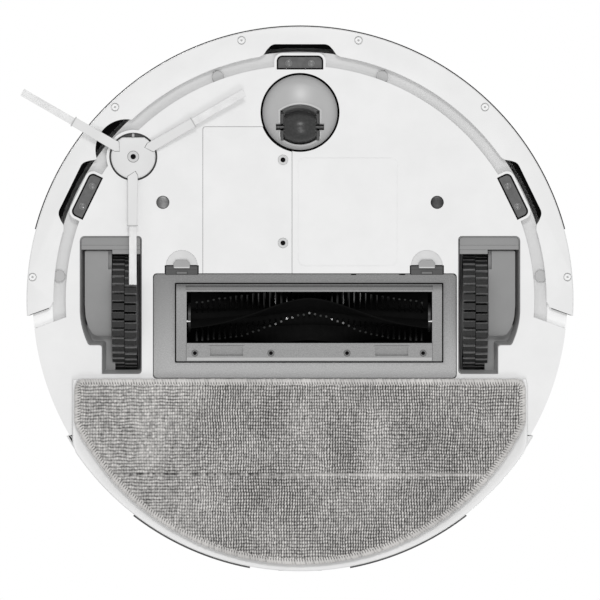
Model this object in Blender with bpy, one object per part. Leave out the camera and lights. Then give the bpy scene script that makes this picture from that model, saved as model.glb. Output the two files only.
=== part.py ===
"""A round robot vacuum with a main brush, a side brush and a mop.

It stands upright on its wheels. Forward is -Y, up is +Z, and the floor is at Z = 0.
Sizes are in millimetres in this script, and the meshes are scaled to metres at the end.
"""
import bpy
import bmesh
from math import acos, asin, ceil, cos, degrees, radians, sin, sqrt, tau
from mathutils import Matrix, Vector

# Driving dimensions, in millimetres and degrees.
MM = 0.001
GAP = 0.35                      # clearance between pieces that rest against each other
ARC_STEP = 6.0                  # degrees between the points of a large round edge
SIDES = (("left", 1), ("right", -1))

# Body
UNDERSIDE = 9.5                 # height of the chassis underside above the floor
FLOOR_THICKNESS = 2.4
WALL = 2.0
FRONT_RADIUS = 150.0            # chassis wall behind the bumper
WING_RADIUS = 172.0             # chassis wall beside and behind the wheels
FRONT_END_ANGLE = 94.2          # where the front wall turns outwards, from the front
WING_ANGLE = 96.2               # where the wing wall starts
TUB_TOP = 70.0
BODY_TOP = 81.0
COVER_THICKNESS = 2.5
LEDGE_OUTER_RADIUS = 159.0
LEDGE_LOW = 15.5
LEDGE_HIGH = 17.5

# Bumper
BUMPER_RADIUS = 174.4
BUMPER_INNER_RADIUS = 157.7
BUMPER_WALL = 2.4
BUMPER_OUTER_END_ANGLE = 93.3   # the bumper's ends slant: further back on the outside
BUMPER_INNER_END_ANGLE = 91.4
FLANGE_LOW = 11.0
FLANGE_HIGH = 13.4
STRIP_RADIUS = 175.6
STRIP_LOW = 24.0
STRIP_HIGH = 40.0
STRIP_HALF_ANGLE = 75.0
LINER_INNER_RADIUS = 161.8      # clears the cliff sensors with the bumper pressed in

# Cliff sensors
SENSOR_RADIUS = 152.0
SENSOR_WIDTH = 29.6
SENSOR_DEPTH = 8.7
SENSOR_BEZEL = 1.7
SENSOR_ANGLES = (("front", 0.0), ("left", 64.0), ("right", -64.0))

# Drive wheels and their suspension
WHEEL_RADIUS = 36.5
WHEEL_WIDTH = 15.6
WHEEL_X = 112.3
WHEEL_Y = 7.6
PIVOT_Y = -27.0
PIVOT_Z = 30.0
ARM_INNER_X = 120.6
ARM_OUTER_X = 137.8
WELL_INNER_X = 101.5
WELL_OUTER_X = 140.7
WELL_FRONT_Y = -40.7
WELL_REAR_Y = 47.1
WELL_STEP_X = 126.6
WELL_STEP_Y = 28.7
WELL_ROOF = 76.5
WELL_WALL = 1.5

# Caster
CASTER_Y = -120.2
CASTER_HOLE_RADIUS = 25.3
CASTER_DOME_RADIUS = 24.0
CASTER_WHEEL_RADIUS = 10.4
CASTER_WHEEL_HALF_WIDTH = 10.0
CASTER_AXLE_Y = -110.6

# Side brush
SIDE_BRUSH_X = -106.7
SIDE_BRUSH_Y = -91.7
SIDE_BRUSH_HOLE_RADIUS = 15.4
SIDE_BRUSH_HUB_RADIUS = 14.5
SIDE_BRUSH_ARM_REACH = 44.0
SIDE_BRUSH_TUFT_REACH = 82.0
SIDE_BRUSH_ARM_DIRECTIONS = (90.0, 210.0, 330.0)

# Main brush and its cover
BRUSH_Y = 11.1
BRUSH_Z = 19.5
BRUSH_RADIUS = 17.0
BRUSH_CORE_RADIUS = 7.0
BRUSH_LEFT_X = 82.0
BRUSH_RIGHT_X = -70.0
BRUSH_TWIST = 70.0              # degrees the bristle rows turn from an end to the middle
FRAME_BOX = (-93.8, 100.0, -16.7, 50.0)
GUARD_BOX = (-79.3, 91.0, -10.8, 40.3)
MOUTH_BOX = (-72.6, 84.6, -5.3, 27.6)
FRAME_LOW = 9.3
FRAME_HIGH = 12.4
GUARD_HIGH = 11.5
CHAMBER_LOW = 14.2
CHAMBER_TOP = 44.0
LATCH_CENTRES = (("left", 81.2), ("right", -75.7))

# Battery bay
BATTERY_COVER_BOX = (-62.1, -5.2, -110.8, -18.4)
BATTERY_SCREW_X = -10.9
BATTERY_SCREW_YS = (-89.7, -36.5)

# Blower and the duct from the dust bin
BLOWER_X = 32.0
BLOWER_Y = -62.0
BLOWER_RADIUS = 28.0
BLOWER_LOW = 13.0
BLOWER_HIGH = 45.4
DUCT_BOX = (8.0, 56.0, -88.0, 56.4)
DUCT_LOW = 46.0
DUCT_HIGH = 62.0

# Rear module with the dust bin and the water tank, and the mop
TANK_FRONT_Y = 87.0
TANK_RADIUS = 173.0
TANK_HIGH = 69.5
TANK_WALL = 2.0
BIN_BOX = (-88.0, 88.0, 57.0, 140.0)
BIN_LOW = 20.0
BIN_HIGH = 60.0
MOP_PLATE_HALF_WIDTH = 145.5
MOP_PLATE_RADIUS = 173.5
MOP_PLATE_FRONT_Y = 50.5
MOP_PLATE_LOW = 4.3
MOP_PLATE_HIGH = 9.1
PAD_HALF_WIDTH = 144.5
PAD_FRONT_Y = 50.2
PAD_SIDE_END_Y = 79.4
PAD_ARC_CENTRE_Y = 9.1
PAD_ARC_RADIUS = 160.4
PAD_THICKNESS = 4.0

# Lidar turret and buttons on the top
TURRET_Y = 42.0
TURRET_BASE_RADIUS = 38.0
TURRET_CAP_RADIUS = 40.0
TURRET_TOP = 97.0
BUTTON_RADIUS = 9.0
BUTTON_Y = -118.0
BUTTON_XS = (("power_button", 14.0), ("home_button", -14.0))
CONTACT_X = 87.8
CONTACT_Y = -62.5
CONTACT_RADIUS = 4.1

COLOURS = {
    "white_plastic": ((0.84, 0.84, 0.85), 0.42, 0.0),
    "bright_white_plastic": ((0.88, 0.88, 0.88), 0.4, 0.0),
    "grey_plastic": ((0.42, 0.42, 0.43), 0.5, 0.0),
    "light_grey_plastic": ((0.62, 0.62, 0.63), 0.45, 0.0),
    "speckled_grey_plastic": ((0.40, 0.41, 0.42), 0.55, 0.0),
    "black_plastic": ((0.02, 0.02, 0.02), 0.4, 0.0),
    "smoked_window": ((0.06, 0.06, 0.07), 0.15, 0.0),
    "tyre_rubber": ((0.03, 0.03, 0.03), 0.8, 0.0),
    "bumper_rubber": ((0.02, 0.02, 0.02), 0.6, 0.0),
    "pale_bristle": ((0.80, 0.80, 0.80), 0.6, 0.0),
    "dark_bristle": ((0.04, 0.04, 0.04), 0.7, 0.0),
    "steel": ((0.6, 0.6, 0.6), 0.3, 1.0),
    "battery_wrap": ((0.1, 0.2, 0.35), 0.5, 0.0),
    "circuit_board": ((0.02, 0.18, 0.08), 0.5, 0.0),
    "filter_paper": ((0.75, 0.75, 0.7), 0.9, 0.0),
    "microfibre": ((0.26, 0.255, 0.24), 0.95, 0.0),
}


def clear_scene():
    for item in list(bpy.data.objects):
        bpy.data.objects.remove(item, do_unlink=True)


def make_material(name):
    """The Principled material of this name, made on first use."""
    found = bpy.data.materials.get(name)
    if found:
        return found
    colour, roughness, metallic = COLOURS[name]
    material = bpy.data.materials.new(name)
    material.use_nodes = True
    shader = material.node_tree.nodes["Principled BSDF"]
    shader.inputs["Base Color"].default_value = (*colour, 1.0)
    shader.inputs["Roughness"].default_value = roughness
    shader.inputs["Metallic"].default_value = metallic
    return material


# Outlines, as lists of points in the XY plane

def polar(radius, angle):
    """A point at this radius, at this angle from the front, positive towards the robot's left."""
    return (radius * sin(radians(angle)), -radius * cos(radians(angle)))


def sweep(start, end, step=ARC_STEP):
    """Angles from start to end in even steps of about this size."""
    count = max(1, ceil(abs(end - start) / step - 1e-6))
    return [start + (end - start) * i / count for i in range(count + 1)]


def polar_arc(radius, start, end):
    return [polar(radius, angle) for angle in sweep(start, end)]


def circle_arc(centre_x, centre_y, radius, start, end, step=15.0):
    return [
        (centre_x + radius * cos(radians(angle)), centre_y + radius * sin(radians(angle)))
        for angle in sweep(start, end, step)
    ]


def circle(centre_x, centre_y, radius, steps=24):
    return circle_arc(centre_x, centre_y, radius, 0, 360, 360 / steps)[:-1]


def rounded_rectangle(left, right, front, rear, radius):
    corners = (
        (right - radius, rear - radius, 0),
        (left + radius, rear - radius, 90),
        (left + radius, front + radius, 180),
        (right - radius, front + radius, 270),
    )
    points = []
    for centre_x, centre_y, start in corners:
        points += circle_arc(centre_x, centre_y, radius, start, start + 90, 30)
    return points


# Solids, as bmesh shapes in millimetres

def prism(outline, low, high):
    """The outline raised from one height to another."""
    shape = bmesh.new()
    bottom = [shape.verts.new((x, y, low)) for x, y in outline]
    top = [shape.verts.new((x, y, high)) for x, y in outline]
    shape.faces.new(bottom[::-1])
    shape.faces.new(top)
    for i in range(len(outline)):
        j = (i + 1) % len(outline)
        shape.faces.new((bottom[i], bottom[j], top[j], top[i]))
    bmesh.ops.recalc_face_normals(shape, faces=shape.faces)
    return shape


def box(left, right, front, rear, low, high):
    return prism([(left, front), (right, front), (right, rear), (left, rear)], low, high)


def cylinder(x, y, radius, low, high, steps=24):
    return prism(circle(x, y, radius, steps), low, high)


def sector(inner, outer, start, end, low, high):
    """A stretch of a ring about the middle of the robot."""
    return prism(polar_arc(outer, start, end) + polar_arc(inner, end, start), low, high)


def turned(profile, steps=32):
    """A solid turned about Z. The profile is a closed outline of (radius, height)."""
    shape = bmesh.new()
    rings = []
    for radius, height in profile:
        if radius == 0:
            rings.append([shape.verts.new((0, 0, height))] * steps)
            continue
        angles = [tau * i / steps for i in range(steps)]
        rings.append([shape.verts.new((radius * cos(a), radius * sin(a), height)) for a in angles])
    for near, far in zip(rings, rings[1:] + rings[:1]):
        for i in range(steps):
            j = (i + 1) % steps
            corners = list(dict.fromkeys((near[i], near[j], far[j], far[i])))
            if len(corners) > 2:
                shape.faces.new(corners)
    bmesh.ops.recalc_face_normals(shape, faces=shape.faces)
    bmesh.ops.dissolve_limit(shape, angle_limit=0.001, verts=[], edges=shape.edges)
    return shape


def moved(shape, x=0.0, y=0.0, z=0.0):
    bmesh.ops.translate(shape, vec=(x, y, z), verts=shape.verts)
    return shape


def rotated(shape, angle, axis="Z"):
    matrix = Matrix.Rotation(radians(angle), 3, axis)
    bmesh.ops.rotate(shape, cent=(0, 0, 0), matrix=matrix, verts=shape.verts)
    return shape


def along_x(shape, x=0.0, y=0.0, z=0.0):
    """A shape made about Z, laid along X and moved to this place."""
    return moved(rotated(shape, 90, "Y"), x, y, z)


def tapered_bar(near, far, near_size, far_size):
    """A straight bar along +X between two points, with a width and a height at each."""
    shape = bmesh.new()
    rings = []
    for (x, z), (width, height) in ((near, near_size), (far, far_size)):
        corners = ((-1, -1), (1, -1), (1, 1), (-1, 1))
        rings.append([shape.verts.new((x, a * width / 2, z + b * height / 2)) for a, b in corners])
    shape.faces.new(rings[0][::-1])
    shape.faces.new(rings[1])
    for i in range(4):
        j = (i + 1) % 4
        shape.faces.new((rings[0][i], rings[0][j], rings[1][j], rings[1][i]))
    bmesh.ops.recalc_face_normals(shape, faces=shape.faces)
    return shape


def helix(radius, wire_radius, low, high, turns, steps_per_turn=9, sides=4):
    """A coil spring about Z, with plain cut ends."""
    shape = bmesh.new()
    rings = []
    total = int(turns * steps_per_turn)
    for i in range(total + 1):
        angle = tau * i / steps_per_turn
        height = low + (high - low) * i / total
        ring = []
        for side in range(sides):
            around = tau * side / sides
            reach = radius + wire_radius * cos(around)
            rise = height + wire_radius * sin(around)
            ring.append(shape.verts.new((reach * cos(angle), reach * sin(angle), rise)))
        rings.append(ring)
    shape.faces.new(rings[0])
    shape.faces.new(rings[-1][::-1])
    for near, far in zip(rings, rings[1:]):
        for side in range(sides):
            after = (side + 1) % sides
            shape.faces.new((near[side], near[after], far[after], far[side]))
    bmesh.ops.recalc_face_normals(shape, faces=shape.faces)
    return shape


# Objects

def mesh_object(name, shape):
    mesh = bpy.data.meshes.new(name)
    shape.to_mesh(mesh)
    shape.free()
    made = bpy.data.objects.new(name, mesh)
    bpy.context.scene.collection.objects.link(made)
    return made


def combine(target, shape, operation):
    """Join a shape to the target, or cut it away, and keep the result as the target's mesh."""
    tool = mesh_object("tool", shape)
    step = target.modifiers.new("step", "BOOLEAN")
    step.operation = operation
    step.solver = "EXACT"
    step.object = tool
    graph = bpy.context.evaluated_depsgraph_get()
    result = bpy.data.meshes.new_from_object(target.evaluated_get(graph))
    target.modifiers.clear()
    plain = target.data
    target.data = result
    bpy.data.meshes.remove(plain)
    bpy.data.objects.remove(tool, do_unlink=True)


def piece(name, shape, material, joins=(), cuts=(), pivot=(0.0, 0.0, 0.0)):
    """One named solid. The joins are added first, then the cuts are taken away.

    The pivot is a point on the axis that the piece turns on, and becomes its origin.
    """
    made = mesh_object(name, shape)
    for extra in joins:
        combine(made, extra, "UNION")
    for extra in cuts:
        combine(made, extra, "DIFFERENCE")
    place = Vector(pivot)
    made.data.transform(Matrix.Scale(MM, 4) @ Matrix.Translation(-place))
    made.location = place * MM
    made.data.materials.clear()
    made.data.materials.append(make_material(material))
    made.data.shade_smooth()
    made.data.set_sharp_from_angle(angle=radians(30))
    return made


# Chassis

def body_outline(front_radius, wing_radius, end_angle, wing_angle, rear):
    """The chassis seen from above: a smaller round front, two wings, and a straight rear edge."""
    rear_angle = 180 - degrees(acos(rear / wing_radius))
    left = polar_arc(front_radius, 0, end_angle) + polar_arc(wing_radius, wing_angle, rear_angle)
    right = [(-x, y) for x, y in left[:0:-1]]
    return left + right


def well_outline(side, grow=0.0):
    """A wheel well's opening, made larger on every side by grow."""
    outer = WELL_OUTER_X + grow
    step_x = WELL_STEP_X + grow
    points = [
        (WELL_INNER_X - grow, WELL_FRONT_Y - grow),
        (outer, WELL_FRONT_Y - grow),
        (outer, 8.0),
        (outer - 1.2, 16.0),
        (outer - 3.2, 23.5),
        (outer - 5.6, WELL_STEP_Y + grow),
        (step_x, WELL_STEP_Y + grow),
        (step_x, WELL_REAR_Y + grow),
        (WELL_INNER_X - grow, WELL_REAR_Y + grow),
    ]
    return [(side * x, y) for x, y in points]


def sensor_block(angle, width, inner, outer, low, high, corner=0.0):
    """A block with its long side along the edge of the chassis; its outer corners can be cut off."""
    half = width / 2
    outline = [(-half, -inner), (-half, corner - outer), (corner - half, -outer)]
    if corner == 0:
        outline.pop()
    outline += [(-x, y) for x, y in outline[::-1]]
    return rotated(prism(outline, low, high), angle)


def sensor_pocket(angle):
    """The tapered cut that the bumper's flange has outside a cliff sensor."""
    outline = [(-22.5, -156.0), (-21.0, -158.7), (-12.0, -163.5), (12.0, -163.5), (21.0, -158.7), (22.5, -156.0)]
    return rotated(prism(outline, FLANGE_LOW - 1, FLANGE_HIGH + 1), angle)


def latch_notches():
    notches = []
    for _, centre in LATCH_CENTRES:
        notches.append(box(centre - 10.8, centre + 10.8, -22.2, -16.0, UNDERSIDE - 1, 13.0))
        notches.append(cylinder(centre, -21.8, 10.2, UNDERSIDE - 1, 11.0))
    return notches


def chassis_base():
    outer = body_outline(FRONT_RADIUS, WING_RADIUS, FRONT_END_ANGLE, WING_ANGLE, TANK_FRONT_Y - 0.6)
    inner = body_outline(
        FRONT_RADIUS - WALL, WING_RADIUS - WALL, FRONT_END_ANGLE + 0.8, WING_ANGLE + 0.8, TANK_FRONT_Y + 5
    )
    floor_top = UNDERSIDE + FLOOR_THICKNESS
    through = (UNDERSIDE - 1, floor_top + 1)
    left, right, front, rear = FRAME_BOX
    joins = [sector(FRONT_RADIUS - 1, LEDGE_OUTER_RADIUS, -95.4, 95.4, LEDGE_LOW, LEDGE_HIGH)]
    joins.append(cylinder(SIDE_BRUSH_X, SIDE_BRUSH_Y, 17.0, UNDERSIDE, 14.4, 32))
    for _, angle in SENSOR_ANGLES:
        outer_edge = SENSOR_RADIUS + SENSOR_DEPTH / 2 + SENSOR_BEZEL
        width = SENSOR_WIDTH + 2 * SENSOR_BEZEL
        joins.append(sensor_block(angle, width, SENSOR_RADIUS - 6, outer_edge, UNDERSIDE, LEDGE_LOW + 1, 4.0))
    cuts = [prism(inner, floor_top, TUB_TOP + 1)]
    cuts.append(cylinder(0, CASTER_Y, CASTER_HOLE_RADIUS, *through, 40))
    cuts.append(cylinder(SIDE_BRUSH_X, SIDE_BRUSH_Y, SIDE_BRUSH_HOLE_RADIUS, UNDERSIDE - 1, 12.6, 32))
    cuts.append(cylinder(SIDE_BRUSH_X, SIDE_BRUSH_Y, 3.5, 12, 16, 12))
    cover_left, cover_right, cover_front, cover_rear = BATTERY_COVER_BOX
    cuts.append(box(cover_left - GAP, cover_right + GAP, cover_front - GAP, cover_rear + GAP, *through))
    cuts.append(box(left - GAP, right + GAP, front - GAP, rear + GAP, *through))
    cuts.append(prism(rounded_rectangle(-1.3, 62.2, -91.0, -21.8, 4.5), UNDERSIDE - 1, UNDERSIDE + 0.25))
    cuts += latch_notches()
    for _, side in SIDES:
        cuts.append(prism(well_outline(side, GAP), *through))
        cuts.append(cylinder(side * CONTACT_X, CONTACT_Y, CONTACT_RADIUS + 0.4, *through))
    for _, angle in SENSOR_ANGLES:
        inner_edge = SENSOR_RADIUS - SENSOR_DEPTH / 2 - 0.3
        outer_edge = SENSOR_RADIUS + SENSOR_DEPTH / 2 + 0.3
        cuts.append(sensor_block(angle, SENSOR_WIDTH + 0.6, inner_edge, outer_edge, UNDERSIDE - 1, LEDGE_HIGH + 1))
    piece("chassis_base", prism(outer, UNDERSIDE, TUB_TOP), "white_plastic", joins, cuts)


def top_cover():
    edge = WING_RADIUS
    top = BODY_TOP
    low = TUB_TOP + GAP
    profile = [
        (0, top), (165, top), (170, top - 2.2), (edge, top - 6), (edge, low),
        (edge - COVER_THICKNESS, low), (edge - COVER_THICKNESS, top - 6.5),
        (164, top - COVER_THICKNESS), (0, top - COVER_THICKNESS),
    ]
    cuts = [cylinder(0, TURRET_Y, TURRET_BASE_RADIUS + 0.5, 60, top + 5, 48)]
    for _, x in BUTTON_XS:
        cuts.append(cylinder(x, BUTTON_Y, BUTTON_RADIUS + 0.4, 60, top + 5))
    piece("top_cover", turned(profile, 60), "white_plastic", cuts=cuts)


def battery_bay():
    left, right, front, rear = BATTERY_COVER_BOX
    cuts = [cylinder(0, CASTER_Y, CASTER_HOLE_RADIUS + GAP, 0, 20, 40)]
    for y in BATTERY_SCREW_YS:
        cuts.append(cylinder(BATTERY_SCREW_X, y, 1.9, 0, 20, 16))
    piece("battery_cover", box(left, right, front, rear, UNDERSIDE, 11.6), "white_plastic", cuts=cuts)
    piece("battery_pack", box(left + 1.5, right - 2.3, -91, rear - 1.6, 12.6, 36), "battery_wrap")


def cliff_sensors():
    for name, angle in SENSOR_ANGLES:
        inner = SENSOR_RADIUS - SENSOR_DEPTH / 2
        outer = SENSOR_RADIUS + SENSOR_DEPTH / 2
        window = sensor_block(angle, SENSOR_WIDTH, inner, outer, UNDERSIDE + 0.6, 22.0)
        slot = sector(0, FRONT_RADIUS + 0.4, angle - 12, angle + 12, 12.2, 30)
        piece("cliff_sensor_" + name, window, "smoked_window", cuts=[slot])


def charging_contacts():
    for name, side in SIDES:
        plate = cylinder(side * CONTACT_X, CONTACT_Y, CONTACT_RADIUS, UNDERSIDE - 0.5, 16)
        piece("charging_contact_" + name, plate, "steel")


# Bumper

def bumper():
    outer_end = BUMPER_OUTER_END_ANGLE
    inner_end = BUMPER_INNER_END_ANGLE
    outline = polar_arc(BUMPER_RADIUS, -outer_end, outer_end) + polar_arc(BUMPER_INNER_RADIUS, inner_end, -inner_end)
    flange = prism(outline, FLANGE_LOW, FLANGE_HIGH)
    inner = BUMPER_RADIUS - BUMPER_WALL
    wall = sector(inner, BUMPER_RADIUS, -outer_end + 0.2, outer_end - 0.2, FLANGE_HIGH - 1, TUB_TOP)
    cuts = [sensor_pocket(angle) for _, angle in SENSOR_ANGLES]
    relief = 147.1
    x, y = polar(relief, -49.2)
    cuts.append(cylinder(x, y, 19.6, FLANGE_LOW - 1, FLANGE_HIGH + 1, 32))
    groove = STRIP_HALF_ANGLE + 0.3
    cuts.append(sector(BUMPER_RADIUS - 1.2, STRIP_RADIUS + 2, -groove, groove, STRIP_LOW - GAP, STRIP_HIGH + GAP))
    piece("bumper_shell", flange, "bright_white_plastic", [wall], cuts)
    strip = sector(BUMPER_RADIUS - 0.9, STRIP_RADIUS, -STRIP_HALF_ANGLE, STRIP_HALF_ANGLE, STRIP_LOW, STRIP_HIGH)
    piece("bumper_strip", strip, "bumper_rubber")
    liner = sector(LINER_INNER_RADIUS, inner - 0.5, -80, 80, 20, 22)
    piece("bumper_liner", liner, "black_plastic")


def bumper_switches():
    for name, side in SIDES:
        body = rotated(box(-8, 8, -156.2, -FRONT_RADIUS - 0.7, 28, 40), side * 35)
        piece("bumper_switch_" + name, body, "black_plastic")


# Drive wheels

def wheel_wells():
    for name, side in SIDES:
        outer = prism(well_outline(side), UNDERSIDE + 0.1, WELL_ROOF)
        hollow = prism(well_outline(side, -WELL_WALL), 0, WELL_ROOF - WELL_WALL)
        pin_hole = along_x(cylinder(0, 0, 3.4, -6, 6, 16), side * 140, PIVOT_Y, PIVOT_Z)
        piece("wheel_well_" + name, outer, "grey_plastic", cuts=[hollow, pin_hole])


def suspension_arm_outline():
    """The gearbox seen from above: its outer rear corner is rounded."""
    return [
        (ARM_INNER_X, -31.7), (ARM_OUTER_X, -31.7), (ARM_OUTER_X, 3.2), (ARM_OUTER_X - 0.6, 11.5),
        (ARM_OUTER_X - 2.5, 18.0), (ARM_OUTER_X - 5.1, 21.8), (ARM_OUTER_X - 7.7, 23.0), (ARM_INNER_X, 23.0),
    ]


def suspensions():
    for name, side in SIDES:
        pivot = (side * ARM_OUTER_X, PIVOT_Y, PIVOT_Z)
        body = prism([(side * x, y) for x, y in suspension_arm_outline()], 12, 44)
        pin = along_x(cylinder(0, 0, 3.0, -8, 4.6, 16), side * ARM_OUTER_X, PIVOT_Y, PIVOT_Z)
        if side < 0:
            pin = along_x(cylinder(0, 0, 3.0, -4.6, 8, 16), -ARM_OUTER_X, PIVOT_Y, PIVOT_Z)
        bore = along_x(cylinder(0, 0, 4.6, -11, 11, 20), side * 124, WHEEL_Y, WHEEL_RADIUS)
        piece("suspension_arm_" + name, body, "grey_plastic", [pin], [bore], pivot)
        motor = moved(rotated(cylinder(0, 0, 7.2, -14, 14, 20), 90, "X"), side * 128.4, 3, 51.6)
        piece("wheel_motor_" + name, motor, "steel", pivot=pivot)
        spring = moved(helix(4, 0.7, 45.4, 74.0, 6), side * 129.2, -24)
        piece("suspension_spring_" + name, spring, "steel")


def drive_wheels():
    for name, side in SIDES:
        pivot = (side * WHEEL_X, WHEEL_Y, WHEEL_RADIUS)
        half = WHEEL_WIDTH / 2
        tread = [
            (28.6, half), (WHEEL_RADIUS - 0.8, half), (WHEEL_RADIUS, half - 0.8),
            (WHEEL_RADIUS, 0.8 - half), (WHEEL_RADIUS - 0.8, -half), (28.6, -half),
        ]
        tyre = along_x(turned(tread, 36), *pivot)
        piece("tyre_" + name, tyre, "tyre_rubber", pivot=pivot)
        shaft_end = half + 12
        rim = [
            (0, half - 3), (26, half - 3), (26, half), (28.2, half), (28.2, -half), (26, -half),
            (26, 3 - half), (4, 3 - half), (4, -shaft_end), (0, -shaft_end),
        ]
        hub = turned(rim, 24)
        if side > 0:
            hub = rotated(hub, 180, "X")
        piece("wheel_hub_" + name, along_x(hub, *pivot), "grey_plastic", pivot=pivot)


# Caster

def caster_cup():
    inner = CASTER_HOLE_RADIUS - 0.5
    outer = CASTER_HOLE_RADIUS + 1.0
    profile = [
        (inner, 12.2), (outer, 12.2), (outer, 31), (8, 31), (8, 40), (5.6, 40), (5.6, 29), (inner, 29),
    ]
    piece("caster_cup", moved(turned(profile, 28), 0, CASTER_Y), "black_plastic")


def caster_dome_profile(depth=6.0, rim=10.0, points=5):
    """The dome's underside: a shallow spherical cap from the middle out to the rim."""
    ball = (CASTER_DOME_RADIUS ** 2 + depth ** 2) / (2 * depth)
    profile = []
    for i in range(points + 1):
        radius = CASTER_DOME_RADIUS * i / points
        profile.append((radius, rim - depth + ball - sqrt(ball ** 2 - radius ** 2)))
    return profile


def caster():
    swivel = (0, CASTER_Y, 10)
    axle = (0, CASTER_AXLE_Y, CASTER_WHEEL_RADIUS)
    profile = caster_dome_profile() + [
        (CASTER_DOME_RADIUS, 11.4), (23.4, 12.2), (23.4, 27), (5, 27), (5, 38), (0, 38),
    ]
    arch = circle_arc(0, -103.2, 21.8, -126.3, -53.7, 12)
    slot = prism(arch + [(12.9, -99.4), (-12.9, -99.4)], -1, 24.6)
    axle_slot = box(-15.8, 15.8, CASTER_AXLE_Y - 1.9, CASTER_AXLE_Y + 1.9, -1, 13.4)
    dome = moved(turned(profile, 30), 0, CASTER_Y)
    piece("caster_fork", dome, "light_grey_plastic", cuts=[slot, axle_slot], pivot=swivel)
    half = CASTER_WHEEL_HALF_WIDTH
    barrel = [(1.9, -half), (7.4, -half), (9.4, -half * 0.6), (CASTER_WHEEL_RADIUS, 0)]
    barrel += [(9.4, half * 0.6), (7.4, half), (1.9, half)]
    piece("caster_wheel", along_x(turned(barrel, 24), *axle), "tyre_rubber", pivot=axle)
    rod = along_x(cylinder(0, 0, 1.5, -15.4, 15.4, 12), *axle)
    piece("caster_axle", rod, "steel", pivot=swivel)


# Side brush

def side_brush_arm(direction, near, far):
    """A bar from near to far, each given as (reach, height, width, thickness)."""
    bar = tapered_bar(near[:2], far[:2], near[2:], far[2:])
    return moved(rotated(bar, direction), SIDE_BRUSH_X, SIDE_BRUSH_Y)


def side_brush():
    pivot = (SIDE_BRUSH_X, SIDE_BRUSH_Y, 8)
    radius = SIDE_BRUSH_HUB_RADIUS
    profile = [(0, 6.2), (radius - 2, 6.2), (radius, 7.6), (radius, 11.4), (3.0, 11.4), (3.0, 17.0), (0, 17.0)]
    hub = moved(turned(profile, 28), SIDE_BRUSH_X, SIDE_BRUSH_Y)
    reach = SIDE_BRUSH_ARM_REACH
    arms = [
        side_brush_arm(direction, (8, 7.6, 7.4, 2.6), (reach, 3.6, 6.0, 2.4))
        for direction in SIDE_BRUSH_ARM_DIRECTIONS
    ]
    flat = box(SIDE_BRUSH_X - 20, SIDE_BRUSH_X + 20, SIDE_BRUSH_Y - 20, SIDE_BRUSH_Y - 12.1, 5.5, 18)
    counterbore = cylinder(SIDE_BRUSH_X, SIDE_BRUSH_Y, 3.7, 0, 8, 20)
    bore = cylinder(SIDE_BRUSH_X, SIDE_BRUSH_Y, 1.6, 7, 16, 12)
    piece("side_brush_hub", hub, "pale_bristle", arms, [flat, counterbore, bore], pivot)
    screw = [(0, 6.4), (3.3, 6.4), (3.3, 7.7), (1.3, 7.7), (1.3, 15.5), (0, 15.5)]
    piece("side_brush_screw", moved(turned(screw, 16), SIDE_BRUSH_X, SIDE_BRUSH_Y), "steel", pivot=pivot)
    for number, direction in enumerate(SIDE_BRUSH_ARM_DIRECTIONS, 1):
        near = (reach + 0.3, 3.4, 3.6, 1.8)
        far = (SIDE_BRUSH_TUFT_REACH, 1.2, 3.6, 1.2)
        piece(f"side_brush_tuft_{number}", side_brush_arm(direction, near, far), "pale_bristle", pivot=pivot)


def side_brush_motor():
    body = box(-105.0, -84.0, -95.0, -74.0, 18.0, 44.0)
    gearbox = box(-109.0, -84.0, -96.0, -74.0, 14.8, 18.5)
    shaft_room = cylinder(SIDE_BRUSH_X, SIDE_BRUSH_Y, 3.5, 14, 17.4, 16)
    piece("side_brush_motor", body, "black_plastic", [gearbox], [shaft_room])


# Main brush, its chamber and its cover

def brush_star(turn):
    """The brush's cross-section: round core with six rows of bristles, turned by this angle."""
    points = []
    for row in range(6):
        base = turn + row * 60
        for angle, radius in ((-30, BRUSH_CORE_RADIUS), (-9, BRUSH_CORE_RADIUS), (-5, BRUSH_RADIUS),
                              (5, BRUSH_RADIUS), (9, BRUSH_CORE_RADIUS)):
            place = radians(base + angle)
            points.append((radius * cos(place), radius * sin(place)))
    return points


def lofted(sections):
    """A solid through outlines of equal length, each given as (x, outline in the YZ plane)."""
    shape = bmesh.new()
    rings = [[shape.verts.new((x, y, z)) for y, z in outline] for x, outline in sections]
    shape.faces.new(rings[0][::-1])
    shape.faces.new(rings[-1])
    count = len(rings[0])
    for near, far in zip(rings, rings[1:]):
        for i in range(count):
            j = (i + 1) % count
            shape.faces.new((near[i], near[j], far[j]))
            shape.faces.new((near[i], far[j], far[i]))
    bmesh.ops.recalc_face_normals(shape, faces=shape.faces)
    return shape


def main_brush():
    sections = []
    middle = (BRUSH_LEFT_X + BRUSH_RIGHT_X) / 2
    half = (BRUSH_LEFT_X - BRUSH_RIGHT_X) / 2
    steps = 10
    for i in range(steps + 1):
        x = BRUSH_RIGHT_X + (BRUSH_LEFT_X - BRUSH_RIGHT_X) * i / steps
        turn = BRUSH_TWIST * (1 - abs(x - middle) / half)
        sections.append((x, brush_star(turn)))
    body = moved(lofted(sections), 0, BRUSH_Y, BRUSH_Z)
    pivot = (middle, BRUSH_Y, BRUSH_Z)
    length = half + 6.5
    shaft = along_x(cylinder(0, 0, 3, -length, length, 12), *pivot)
    piece("main_brush", body, "dark_bristle", [shaft], pivot=pivot)


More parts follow.
